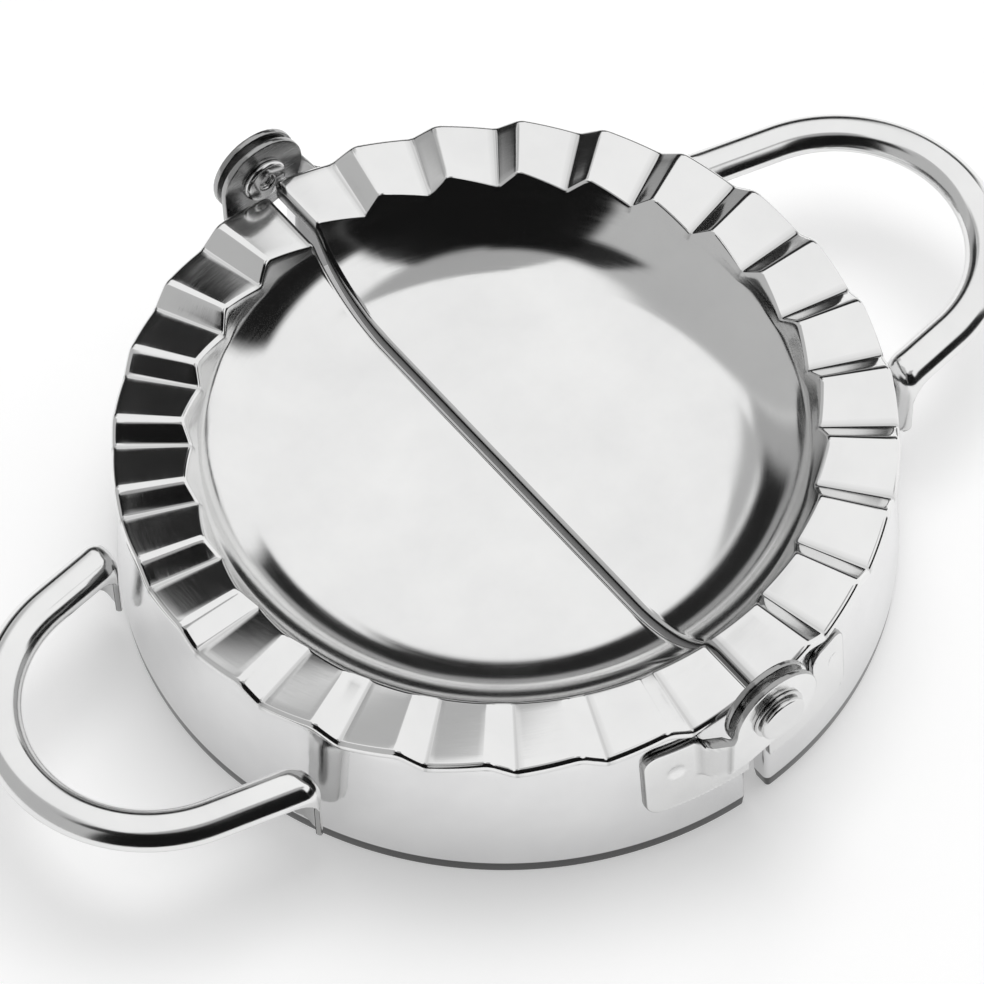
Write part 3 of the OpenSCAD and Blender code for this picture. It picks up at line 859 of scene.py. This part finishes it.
@dataclass
class LoopHandle:
    """Loop handle: one open channel whose crown bends down into a foot at each end."""

    loop_x: float = 53.0  # Distance from the seam to the centre of the loop's arc.
    loop_r: float = 18.6  # Radius of the loop's middle line.
    loop_half: float = 79.0  # Half of the angle that the arc spans, in degrees.
    loop_turn: float = -3.1  # Turn of the loop about its arc's centre, in degrees.
    width: float = 5.5  # Width of the channel.
    height: float = 2.3  # Height of the channel.
    shoulder: float = 1.7  # Radius of the channel's shoulders.
    low_z: float = 14.2  # Height of the channel's open side.
    foot_z: float = 5.0  # Height of a foot's lower end.
    bend_r: float = 2.2  # Radius of the bend into a foot.
    side_h: float = 0.5  # Depth of the sides kept along a foot, over its sheet.
    corner_r: float = 3.0  # Radius of the inner corner between the sides and a foot.
    sheet_t: float = 0.7  # Thickness.
    tip_r: float = 1.5  # Rounding of a foot's lower end.
    dome: float = 0.7  # Height of the crown's dome over its sides.
    weld_gap: float = 0.05  # Gap at the welded seat.
    edge_r: float = 0.2  # Rounding of the sheet's edge.
    tip_side: float = 0.5  # Share of the sides' depth kept at a foot's lower end.
    samples: int = 45  # Points across the channel.
    # Stations round the loop, along a leg, round the bend into a foot and down the foot.
    stations: tuple[int, int, int, int] = (111, 13, 25, 17)

    def foot_x(self, skirt: SkirtBand) -> float:
        """Plane of the feet, where the steeper leg's inner side meets the skirt at the foot's lower end.

        Args:
            skirt: Band that the feet stand against.

        Returns:
            Its distance from the seam.
        """
        a = math.radians(self.loop_half + abs(self.loop_turn))
        inner = self.loop_r - self.width / 2
        x, y = self.loop_x + inner * math.cos(a), inner * math.sin(a)
        along = x * math.sin(a) - y * math.cos(a)
        reach = along - math.sqrt(along**2 - x**2 - y**2 + float(skirt.radius(np.array(self.foot_z))) ** 2)
        return x - reach * math.sin(a) + self.weld_gap

    def across(self, depth: Array) -> tuple[Array, Array]:
        """Section of the channel at stations whose sides have given depths.

        Over the length of half the section come the level crown, a quarter round of the shoulder's radius and
        the straight side, cut off at the depth. The dome lowers it by dome * (u / half width)^2, less and less
        towards the free edge.

        Args:
            depth: Depth of the sides below the crown at each station, (s,).

        Returns:
            Distance from the middle line, and depth below the crown, each (s, samples).
        """
        flat = self.width / 2 - self.shoulder
        whole = self.shoulder * math.pi / 2
        part = self.shoulder * np.arccos(np.clip(1 - depth / self.shoulder, 0, 1))
        half = flat + np.where(depth > self.shoulder, whole + depth - self.shoulder, part)
        v = np.linspace(-1, 1, self.samples)
        length = np.abs(v) * half[:, None]
        round_way = np.clip(length - flat, 0, whole) / self.shoulder
        u = np.minimum(length, flat) + self.shoulder * np.sin(round_way)
        drop = self.shoulder * (1 - np.cos(round_way)) + np.maximum(length - flat - whole, 0)
        deep = depth[:, None]
        drop = drop + self.dome * np.minimum(deep, 1) * (u / (self.width / 2)) ** 2 * (1 - drop / deep)
        return np.sign(v) * u, drop

    def leg(self, side: float, foot_x: float) -> Array:
        """Upper side of one leg from the arc's end to the foot's lower end.

        Each line of the section goes on straight along the leg to the x of its station. A station's x and z run
        from a point of the crown's curve to one of the sides' free edge, by depth over the section's depth.

        Args:
            side: 1 for the leg at the greater y, -1 for the other.
            foot_x: Plane of the feet.

        Returns:
            Points, (stations, samples, 3).
        """
        _, leg_n, bend_n, foot_n = self.stations
        top = self.low_z + self.height
        side_x = foot_x + self.sheet_t + self.side_h
        far = side_x + self.corner_r
        a = math.radians(self.loop_half)
        spin = turn(self.loop_turn)
        out = np.array([math.cos(a), side * math.sin(a)]) @ spin
        ahead = np.array([-math.sin(a), side * math.cos(a)]) @ spin

        def starts(u: Array) -> Array:
            """Points where the section's lines leave the arc, in plan."""
            return np.array([self.loop_x, 0.0]) + (self.loop_r + u)[..., None] * out

        def gone_on(start: Array, x: Array) -> Array:
            """The y at which lines from these points reach an x."""
            return start[..., 1] + (x - start[..., 0]) / ahead[0] * ahead[1]

        straight = far - foot_x - self.bend_r
        quarter = self.bend_r * math.pi / 2
        low = self.low_z - self.corner_r
        way = np.linspace(0, 1, bend_n + 1)[1:]
        length = way * (straight + quarter + top - self.bend_r - low)
        q = np.clip(length - straight, 0, quarter) / self.bend_r
        crown_x = far - np.minimum(length, straight) - self.bend_r * np.sin(q)
        crown_z = top - self.bend_r * (1 - np.cos(q)) - np.maximum(length - straight - quarter, 0)
        p = way * math.pi / 2
        edge_x = far - self.corner_r * np.sin(p)
        edge_z = self.low_z - self.corner_r * (1 - np.cos(p))
        down = low + (self.foot_z - low) * np.linspace(0, 1, foot_n + 1)[1:]
        crown = stacked(np.append(crown_x, 0 * down + foot_x), np.append(crown_z, down))
        tip = self.tip_side + (1 - self.tip_side) * smooth_step((down - self.foot_z) / self.tip_r)
        edge = stacked(np.append(edge_x, foot_x + (side_x - foot_x) * tip), np.append(edge_z, down))
        deep = np.linalg.norm(edge - crown, axis=1)
        u, drop = self.across(deep)
        left = np.clip(crown[:, 1] - self.foot_z, 0, self.tip_r)
        narrow = (self.width / 2 - self.tip_r + np.sqrt(self.tip_r**2 - (self.tip_r - left) ** 2)) / (self.width / 2)
        x, z = np.moveaxis(crown[:, None] + (drop / deep[:, None])[..., None] * (edge - crown)[:, None], 2, 0)
        bent = stacked(x, gone_on(starts(u * narrow[:, None]), x), z)

        u, drop = self.across(np.full(leg_n, self.height))
        start = starts(u)
        x = start[..., 0] + np.linspace(0, 1, leg_n + 1)[1:, None] * (far - start[..., 0])
        return np.concatenate([stacked(x, gone_on(start, x), top - drop), bent])

    def form(self, skirt: SkirtBand) -> Form:
        """Builds the handle from one foot round the loop to the other.

        Args:
            skirt: Band that the feet stand against.

        Returns:
            The closed sheet.
        """
        foot_x = self.foot_x(skirt)
        way = np.radians(np.linspace(-self.loop_half, self.loop_half, self.stations[0]))
        u, drop = self.across(np.full(len(way), self.height))
        flat = (self.loop_r + u)[..., None] * circle(way)[:, None] @ turn(self.loop_turn)
        arc = stacked(flat[..., 0] + self.loop_x, flat[..., 1], self.low_z + self.height - drop)
        upper = np.concatenate([self.leg(-1.0, foot_x)[::-1], arc, self.leg(1.0, foot_x)])
        rows, samples = upper.shape[:2]
        lower = upper - self.sheet_t * grid_normals(upper)
        along, over = lengths(upper[:, samples // 2]), lengths(upper[rows // 2])
        grain = stacked(along[:, None], over, 0.0).reshape(-1, 3)
        return close_sheet(upper.reshape(-1, 3), lower.reshape(-1, 3), [grid_faces(rows, samples)],
                           [grid_edge(rows, samples)], self.edge_r, grain, np.zeros(rows * samples))


@dataclass
class HingePlates:
    """The two hinge plates of a half, each a sheet on the skirt that steps out to an ear."""

    sheet_t: float = 0.8  # Thickness.
    weld_gap: float = 0.05  # Gap at the welded seat.
    axis_z: float = 22.6  # Height of the hinge axis.
    ear_r: float = 6.0  # Radius of an ear.
    inner_y: float = 49.05  # Near face of the inner ear.
    outer_y: float = 50.75  # Near face of the outer ear.
    low: float = 8.0  # Lower edge of the plates.
    top: float = 19.0  # Upper edge of the plates.
    near: float = 1.5  # Distance from the seam to a plate's near end.
    far: float = 15.2  # Distance from the seam to a plate's far end.
    arm_x: float = 8.1  # Start of the outer ear's arm.
    arm_h: float = 6.0  # Height of the arm.
    arm_z: float = 12.4  # Height of the arm's lower edge on the plate.
    arm_rise: float = 3.1  # Rise of the arm.
    neck_z: float = 12.8  # Height where the inner ear's neck leaves its plate.
    neck_top: float = 15.2  # Height where it reaches the ear's plane.
    bore_r: float = 1.55  # Radius of the inner ear's bore.
    seat_r: float = 1.525  # Radius of the outer ear's bore.
    outer_dimple: float = 11.3  # Distance from the seam to the outer plate's weld dimple.
    inner_dimple: float = 13.1  # Distance from the seam to the inner plate's weld dimple.
    dimple_z: float = 14.9  # Height of the dimples.
    dimple_r: float = 1.2  # Radius of a dimple.
    dimple_d: float = 0.3  # Depth of a dimple.
    spacing: float = 0.3  # Distance between points of the surface.
    least: float = 0.02  # Least distance between points of the outline.
    # Least distances of the inner points from the outline, the hole and the dimple, in spacings.
    clear: Triple = (0.5, 0.55, 0.3)
    circle_n: int = 48  # Points round the hole.
    # Radii of the first and the last circle of points in a dimple, in its radii, and their number.
    dimple_rings: tuple[float, float, int] = (0.15, 1.1, 7)
    edge_r: float = 0.14  # Rounding of the sheet's edge.
    crease_painted_shade: float = 0.4  # Painted shade in the creases where a plate steps out.
    crease_w: float = 0.08  # Distance of a crease's middle from the step's end, as a share of the step.
    flush: float = 0.999  # Share of the step from which the inner face keeps to the ear's near face.
    worn: float = 0.25  # Width of a dimple's worn edge, in the dimple's radii.
    arm_tip: float = 0.4  # Distance of the arm's end from the ear's edge.
    arm_foot: float = 3.7  # Distance from the seam to where the arm's lower edge meets the ear.
    # Start of the arm's step beyond arm_x, its length, its easing, and the height over which it fades.
    arm_step: tuple[float, float, float, float] = (0.6, 2.3, 0.1, 0.8)
    notch: float = 3.2  # Distance of the inner plate's upper part from the ear's edge.
    neck_w: float = 1.6  # Distance of the neck's far side from the ear's edge.
    neck_step: Pair = (0.1, 0.15)  # How far below neck_z the neck's step starts, and its easing.
    neck_foot: float = 0.19  # Height of the inner plate's near corner over the ear's lowest point.
    # Rounding of the outer plate's corners.
    outer_round: tuple[float, ...] = (0.12, 2.0, 2.0, 0.25, 0.25, 0.5, 0.3, 5.9, 5.9, 5.9, 0.2, 0.8, 0.7, 0.5, 0.12)
    # Rounding of the inner plate's corners.
    inner_round: tuple[float, ...] = (0.12, 2.0, 2.0, 1.6, 1.2, 0.9, 0.3, 5.9, 5.9, 5.9, 0.2, 0.5)

    def ear(self) -> Array:
        """Corners of a square whose roundings make the ear's disc, past its first quarter."""
        x, low, high = self.ear_r, self.axis_z - self.ear_r, self.axis_z + self.ear_r
        return np.array([[x, high], [-x, high], [-x, low]])

    def filled(self, corners: Array, radii: tuple[float, ...], hole_r: float,
               dip: Array) -> tuple[Array, Array, list[Array]]:
        """Triangles that fill a rounded outline round the ear's hole, with circles of points in the dimple.

        Args:
            corners: Corners of the outline in x and z, counter-clockwise.
            radii: Rounding of each corner.
            hole_r: Radius of the hole round the hinge axis.
            dip: Middle of the dimple in x and z.

        Returns:
            Points in x and z, triangles, and the points along the outline and the hole, the faces' way round.
        """
        line = evenly_filled(rounded(corners, np.array(radii), steps=10, closed=True), self.spacing)
        line = line[np.linalg.norm(np.roll(line, -1, 0) - line, axis=1) > self.least]
        ring = circle(-np.linspace(0, 2 * math.pi, self.circle_n, endpoint=False))
        axis = np.array([0.0, self.axis_z])
        hole = axis + hole_r * ring
        lo, hi = line.min(0), line.max(0)
        x, z = np.meshgrid(np.arange(lo[0], hi[0], self.spacing), np.arange(lo[1], hi[1], self.spacing))
        z = z + (np.arange(x.shape[1]) % 2) * self.spacing / 2
        grid = np.stack([x.ravel(), z.ravel()], 1)
        dimple = self.dimple_r * np.linspace(*self.dimple_rings)
        circles = (dip + dimple[:, None, None] * ring[::2]).reshape(-1, 2)
        dense = evenly_filled(line, self.spacing / 3)
        from_line, from_hole, from_dimple = self.spacing * np.array(self.clear)
        clear = np.linalg.norm(grid[:, None] - dense, axis=2).min(1) > from_line
        clear &= np.linalg.norm(grid - axis, axis=1) > hole_r + from_hole
        clear &= np.linalg.norm(grid - dip, axis=1) > dimple[-1] + from_dimple
        grid = grid[clear & inside(grid, line)]
        flat = np.concatenate([line, hole, circles, grid])
        n, m = len(line), len(hole)
        k, h = np.arange(n), n + np.arange(m)
        sides = np.concatenate([np.stack([k, (k + 1) % n], 1), np.stack([h, n + (h - n + 1) % m], 1)])
        # Type 1 keeps the triangles within the outline. Points closer than 1e-7 are joined.
        found = delaunay_2d_cdt(flat.tolist(), sides.tolist(), [], 1, 1e-7)
        flat, faces = np.array([list(p) for p in found[0]]), np.array(found[2])
        old = np.concatenate([np.array(o, int) for o in found[3]])
        new = np.repeat(np.arange(len(flat)), [len(o) for o in found[3]])
        index = np.zeros(n + m, int)
        index[old[old < n + m]] = new[old < n + m]
        faces = faces[~np.isin(faces, index[h]).all(1)]
        side = flat[faces[:, 1:]] - flat[faces[:, :1]]
        area = side[:, 0, 0] * side[:, 1, 1] - side[:, 0, 1] * side[:, 1, 0]
        faces = np.where((area < 0)[:, None], faces[:, ::-1], faces)
        return flat, faces, [index[k][::-1], index[h][::-1]]

    def plate(self, corners: Array, radii: tuple[float, ...], skirt: SkirtBand, blend: Blend, ear_y: float,
              hole_r: float, dimple_x: float) -> Form:
        """A plate over a flat outline, whose outer face is a height over the plane of the seam's normal.

        The face lies on the skirt, where y is the root of radius squared less x squared, and passes to the ear's
        plane by a ramp. The dimple takes depth * (1 - (distance / radius)^2) off it. The inner face is lower by
        the thickness times the root of 1 + slope squared, but never below the face that touches the skirt.

        Args:
            corners: Corners of the outline in x and z, counter-clockwise.
            radii: Rounding of each corner.
            skirt: Band that it lies on.
            blend: How far the face has passed to the ear's plane at x and z.
            ear_y: Near face of the ear.
            hole_r: Radius of the hole round the hinge axis.
            dimple_x: Distance from the seam to the weld dimple.

        Returns:
            The closed plate, at the greater y.
        """
        dip = np.array([dimple_x, self.dimple_z])
        flat, faces, loops = self.filled(corners, radii, hole_r, dip)

        def face_y(x: Array, z: Array) -> Array:
            """Outer face without the dimple."""
            w = blend(x, z)
            seat = np.sqrt((skirt.radius(z) + self.weld_gap + self.sheet_t) ** 2 - x**2)
            return seat * (1 - w) + (ear_y + self.sheet_t) * w

        x, z = flat.T
        y = face_y(x, z)
        step = 0.02
        slope_x = (face_y(x + step, z) - face_y(x - step, z)) / (2 * step)
        slope_z = (face_y(x, z + step) - face_y(x, z - step)) / (2 * step)
        under = y - self.sheet_t * np.sqrt(1 + slope_x**2 + slope_z**2)
        seat = np.sqrt((skirt.radius(z) + self.weld_gap) ** 2 - x**2)
        under = np.maximum(under, np.where(blend(x, z) < self.flush, seat, ear_y))
        away = np.linalg.norm(flat - dip, axis=1) / self.dimple_r
        y = y - self.dimple_d * np.clip(1 - away**2, 0, 1)
        upper, lower = stacked(x, y, z), stacked(x, under, z)
        wear = smooth_step(1 - np.abs(away - 1) / self.worn)
        # Painted shade along the two creases of the step.
        creases = np.array([self.crease_w, 1 - self.crease_w])[:, None]
        dull_and_shade = self.crease_painted_shade * smooth_step(1 - np.abs(blend(x, z) - creases) / self.crease_w).sum(0)
        return close_sheet(upper, lower, [faces[:, ::-1]], loops, self.edge_r, stacked(x, z, 0.0), wear, dull_and_shade)

    def outer(self, skirt: SkirtBand) -> Form:
        """Outer plate, at the greater y: an arm steps out from its upper part to the ear.

        Args:
            skirt: Band that it lies on.

        Returns:
            The closed plate.
        """
        top = self.arm_z + self.arm_rise
        tip = self.ear_r + self.arm_tip
        start, length, ease, fade = self.arm_step
        corners = np.concatenate([
            [[self.near, self.low], [self.far, self.low], [self.far, self.top], [self.arm_x, self.top]],
            [[self.arm_x, self.arm_z + self.arm_h], [tip, top + self.arm_h], [self.ear_r, self.axis_z]],
            self.ear(),
            [[0.0, self.axis_z - self.ear_r], [self.arm_foot, top], [tip, top]],
            [[self.arm_x, self.arm_z], [self.near, self.arm_z]],
        ])

        def blend(x: Array, z: Array) -> Array:
            """Rises along the arm, above the strip below it."""
            return soft_ramp((self.arm_x + start - x) / length, ease) * smooth_step((z - self.arm_z) / fade)

        return self.plate(corners, self.outer_round, skirt, blend, self.outer_y, self.seat_r, self.outer_dimple)

    def inner(self, skirt: SkirtBand) -> Form:
        """Inner plate, at the lesser y: a neck steps out from its lower strip up to the ear.

        Args:
            skirt: Band that it lies on.

        Returns:
            The closed plate.
        """
        notch = self.ear_r + self.notch
        foot = self.axis_z - self.ear_r
        below, ease = self.neck_step
        corners = np.concatenate([
            [[self.near, self.low], [self.far, self.low], [self.far, self.top], [notch, self.top]],
            [[notch, self.neck_z], [self.ear_r, self.neck_z], [self.ear_r, self.axis_z]],
            self.ear(),
            [[0.0, foot], [self.near, foot + self.neck_foot]],
        ])

        def blend(x: Array, z: Array) -> Array:
            """Rises up the neck."""
            up = soft_ramp((z - self.neck_z + below) / (self.neck_top - self.neck_z + below), ease)
            return np.where(x < self.ear_r + self.neck_w, up, 0)

        form = self.plate(corners, self.inner_round, skirt, blend, self.inner_y, self.bore_r, self.inner_dimple)
        return form.mirrored_front()


@dataclass
class HingePin:
    """Rivet, washer and spacer of one joint, at the greater y."""

    axis_z: float = 22.6  # Height of the axis.
    shank_r: float = 1.5  # Radius of the shank.
    head_r: float = 3.1  # Radius of the head.
    washer_r: float = 3.5  # Radius of the washer.
    tail_r: float = 3.1  # Radius of the rolled tail.
    seat_r: float = 1.525  # Bore of the washer and the spacer.
    tail: float = 48.2  # Free end of the tail.
    tail_y: float = 49.0  # Face of the tail against the inner ear.
    spacer_low: float = 49.9  # Near face of the spacer.
    spacer_high: float = 50.7  # Far face of the spacer.
    washer_low: float = 51.6  # Near face of the washer.
    washer_high: float = 52.0  # Far face of the washer.
    head_y: float = 52.05  # Face of the head against the washer.
    head: float = 53.0  # Free end of the head.
    neck: Pair = (0.75, 0.3)  # Radius and length of the head's neck, in the head's.
    # Radius of the tail's hollow in the shank's, and its depth in the tail's length.
    pit: Pair = (0.7, 0.8)
    # Radius of the head's level top in the head's, and its height over the head's rim.
    crown: Pair = (0.5, 0.03)
    # Rounding of the rivet's corners, from the hollow to the head.
    rounding: tuple[float, ...] = (0, 0.25, 0.35, 0.6, 0.1, 0.03, 0.03, 0.05, 0.1, 0.1, 0.28, 0.8, 0)
    eased: Pair = (0.05, 0.1)  # Rounding of a ring's corners at its bore and at its outer side.

    def rivet(self) -> Form:
        """Rivet with a turned head on a short neck and a hollow rolled tail.

        Returns:
            The turned piece.
        """
        neck_r, neck_y = self.head_r * self.neck[0], self.head_y + (self.head - self.head_y) * self.neck[1]
        pit_r, pit_y = self.shank_r * self.pit[0], self.tail + (self.tail_y - self.tail) * self.pit[1]
        crown_r, crown_h = self.head_r * self.crown[0], self.crown[1]
        corners = np.array([
            [0, pit_y], [pit_r, pit_y], [pit_r, self.tail], [self.tail_r, self.tail], [self.tail_r, self.tail_y],
            [self.shank_r, self.tail_y], [self.shank_r, self.head_y], [neck_r, self.head_y], [neck_r, neck_y],
            [self.head_r, neck_y], [self.head_r, self.head - crown_h], [crown_r, self.head], [0, self.head],
        ])
        return turned_form(rounded(corners, np.array(self.rounding), steps=6, closed=False), False, self.axis_z)

    def ring(self, low: float, high: float, outer_r: float) -> Form:
        """Flat ring with its corners eased.

        Args:
            low: Near face.
            high: Far face.
            outer_r: Outer radius.

        Returns:
            The turned piece.
        """
        corners = np.array([[self.seat_r, low], [outer_r, low], [outer_r, high], [self.seat_r, high]])
        radii = np.array([*self.eased, *self.eased[::-1]])
        return turned_form(rounded(corners, radii, steps=4, closed=True), True, self.axis_z)

    def washer(self) -> Form:
        """Washer under the head."""
        return self.ring(self.washer_low, self.washer_high, self.washer_r)

    def spacer(self) -> Form:
        """Spacer between the ears."""
        return self.ring(self.spacer_low, self.spacer_high, self.head_r)


class PressHalf:
    """Builds and dresses the eight pieces that belong to one half."""

    def __init__(self, half: Half, dresser: Dresser) -> None:
        """Keeps the half and the dresser, with the sub-assemblies at their own sizes.

        Args:
            half: Half to build.
            dresser: Gives the pieces their finishes.
        """
        self.half = half
        self.dresser = dresser
        self.mould = PleatedMould()
        self.skirt = SkirtBand()
        self.handle = LoopHandle()
        self.hinges = HingePlates()
        self.pin = HingePin()

    def build(self) -> None:
        """Builds every piece, in the order of assembly."""
        side, joint = self.half.word, self.half.joint
        pieces = (
            (self.mould.form(), f"{side}_pleated_mould", f"{side}_mould", Steel.MOULD),
            (self.skirt.form(), f"{side}_skirt_band", f"{side}_skirt", Steel.SKIRT),
            (self.handle.form(self.skirt), f"{side}_loop_handle", f"{side}_handle", Steel.HANDLE),
            (self.hinges.outer(self.skirt), f"{side}_outer_plate", f"{side}_outer_hinge", Steel.HINGE),
            (self.hinges.inner(self.skirt), f"{side}_inner_plate", f"{side}_inner_hinge", Steel.HINGE),
            (self.pin.rivet(), f"{joint}_hinge_rivet", f"{joint}_rivet", Steel.RIVET),
            (self.pin.washer(), f"{joint}_rivet_washer", f"{joint}_washer", Steel.WASHER),
            (self.pin.spacer(), f"{joint}_ear_spacer", f"{joint}_spacer", Steel.WASHER),
        )
        for form, name, node, steel in pieces:
            self.dresser.dress(form, name, self.half, node, steel)


@dataclass(frozen=True)
class Card:
    """Cloth on the tent."""

    middle: float  # Angle of its middle round the table, in degrees.
    half: float  # Half of its width, in degrees.
    low: float  # Lower edge, in degrees up.
    high: float  # Upper edge, in degrees up.
    soft: float  # Width of its soft edges, in degrees.
    tone: float  # Its glow. The bare tent's is 1.


CARDS = (
    Card(155, 42, -9, 72, 8, 0.52),
    Card(104, 9, -9, 43, 5, 0.42),
    Card(262, 68, 66, 99, 6, 0.42),
    Card(60, 41, -9, 10, 4, 0.36),
    Card(34, 14, 10, 26, 4, 0.02),
    Card(71.5, 29.5, 10, 34, 6, 0.02),
    Card(88, 14, 37, 49, 6, 0.5),
    Card(305, 24, 3, 37, 6, 0.012),
    Card(206, 34, 50, 70, 6, 0.02),
    Card(240, 43, -9, 68, 6, 0.008),
)


@dataclass
class Studio:
    """Pale table, white room, a tent with dark and grey cards that the metal mirrors, a lamp and the camera."""

    floor: float = 6.0  # Width of the table, in metres.
    table_tone: float = 0.64  # Grey of the table.
    table_rough: float = 0.9  # Roughness of the table.
    table_lift: float = 0.42  # Glow that the camera and the metal see on the table.
    tent_r: float = 2.5  # Radius of the tent, in metres.
    tent_up: Pair = (-1.0, 89.0)  # Lower and upper edge of the tent, in degrees up.
    tent_n: tuple[int, int] = (181, 61)  # Points of the tent round and up.
    lamp_at: Triple = (0.52, 0.36, 1.36)  # Place of the lamp, in metres.
    lamp_w: float = 1.0  # Width of the lamp, in metres.
    lamp_power: float = 11.0  # Power of the lamp, in watts.
    camera: Triple = (-0.220297, -0.296167, 0.549123)  # Place of the camera, in metres.
    right: Triple = (0.78860, -0.61462, -0.01875)  # Camera's right in the frame.
    up: Triple = (0.51589, 0.64471, 0.56410)  # Camera's up in the frame.
    focal: float = 5317.161  # Focal length, in pixels of the photograph.
    image_w: float = 984.0  # Width of the photograph, in pixels.
    sensor_w: float = 36.0  # Width of the sensor, in millimetres.
    clip: float = 0.01  # Nearest distance that the camera sees, in metres.

    def add(self, name: str, data: bpy.types.ID) -> bpy.types.Object:
        """Staged object of a mesh or a lamp.

        Args:
            name: Name of the object.
            data: What it shows.

        Returns:
            The object.
        """
        made = linked(name, data)
        return made

    def table(self) -> None:
        """Pale table. What the camera and the metal see of it is lifted to the white of the photograph's ground."""
        mesh = bpy.data.meshes.new("table_top")
        w = self.floor / 2
        mesh.from_pydata([(-w, -w, 0), (w, -w, 0), (w, w, 0), (-w, w, 0)], [], [(0, 1, 2, 3)])
        paint = bpy.data.materials.new("pale_table")
        paint.use_nodes = True
        tree = paint.node_tree
        shader = tree.nodes["Principled BSDF"]
        shader.inputs["Base Color"].default_value = (self.table_tone, self.table_tone, self.table_tone, 1)
        shader.inputs["Roughness"].default_value = self.table_rough
        shader.inputs["Specular IOR Level"].default_value = 0.0
        node = partial(add_node, tree)
        ray = node("ShaderNodeLightPath").outputs
        seen = node("ShaderNodeMath", {0: ray["Is Camera Ray"], 1: ray["Is Glossy Ray"]}, operation="MAXIMUM")
        both = node("ShaderNodeMath", {0: seen, 1: ray["Is Transmission Ray"]}, operation="MAXIMUM")
        lift = node("ShaderNodeMath", {0: both, 1: self.table_lift}, operation="MULTIPLY")
        glow = node("ShaderNodeEmission", {"Strength": lift})
        total = node("ShaderNodeAddShader", {0: shader, 1: glow})
        tree.links.new(total.outputs[0], tree.nodes["Material Output"].inputs["Surface"])
        self.add("table", mesh).data.materials.append(paint)

    def tent(self) -> None:
        """Tent round the table, out of the camera's sight.

        Its glow starts at white. Each card, with cover c from 0 to 1 over its soft edges, changes it to
        glow * (1 - c) + tone * c.
        """
        round_n, up_n = self.tent_n
        way, up = np.meshgrid(np.linspace(0, 360, round_n), np.linspace(*self.tent_up, up_n))
        glow = np.ones(way.shape)
        for card in CARDS:
            off = np.abs(np.mod(way - card.middle + 180, 360) - 180)
            margins = np.stack([card.half - off, up - card.low, card.high - up])
            cover = smooth_step(margins / card.soft + 0.5).prod(0)
            glow = glow * (1 - cover) + card.tone * cover
        a, e = np.radians(way), np.radians(up)
        points = self.tent_r * stacked(np.cos(a) * np.cos(e), np.sin(a) * np.cos(e), np.sin(e))
        mesh = bpy.data.meshes.new("light_tent")
        mesh.from_pydata(points.reshape(-1, 3).tolist(), [], grid_faces(*way.shape).tolist())
        mesh.attributes.new("glow", "FLOAT", "POINT").data.foreach_set("value", glow.astype(np.float32).ravel())
        cloth = bpy.data.materials.new("tent_cloth")
        cloth.use_nodes = True
        cloth.cycles.emission_sampling = "NONE"
        tree = cloth.node_tree
        layer = add_node(tree, "ShaderNodeAttribute", attribute_name="glow")
        light = add_node(tree, "ShaderNodeEmission", {"Strength": layer.outputs["Fac"]})
        tree.links.new(light.outputs[0], tree.nodes["Material Output"].inputs["Surface"])
        made = self.add("light_tent", mesh)
        made.data.materials.append(cloth)
        made.visible_camera = False

    def lamp(self) -> None:
        """Square soft lamp that looks at the press and that the metal doesn't mirror."""
        light = bpy.data.lights.new("top_lamp", "AREA")
        light.size = self.lamp_w
        light.energy = self.lamp_power
        made = self.add("top_lamp", light)
        back = unit(np.array(self.lamp_at))
        side = unit(np.cross([0.0, 1.0, 0.0], back))
        stand(made, side, np.cross(back, side), back, self.lamp_at)
        made.visible_camera = False
        made.visible_glossy = False

    def room(self) -> None:
        """White room at a plain level."""
        world = bpy.data.worlds.new("white_room")
        world.use_nodes = True
        world.node_tree.nodes["Background"].inputs["Color"].default_value = (1, 1, 1, 1)
        bpy.context.scene.world = world

    def shoot(self) -> None:
        """Sets the camera to the photograph's angle."""
        eye = bpy.data.cameras.new("photo_camera")
        eye.sensor_width = self.sensor_w
        eye.lens = self.focal / self.image_w * self.sensor_w
        eye.clip_start = self.clip
        made = linked("photo_camera", eye)
        stand(made, self.right, self.up, np.cross(self.right, self.up), self.camera)
        bpy.context.scene.camera = made
        bpy.context.scene.view_settings.view_transform = "Standard"

    def build(self) -> None:
        """Builds the whole studio."""
        self.table()
        self.tent()
        self.lamp()
        self.room()
        self.shoot()
        log.info("studio ready")


def main() -> None:
    """Builds the two halves and the studio."""
    logging.basicConfig(level=logging.INFO, format="%(name)s: %(message)s")
    dresser = Dresser()
    for half in Half:
        PressHalf(half, dresser).build()
    Studio().build()


if __name__ == "__main__":
    main()
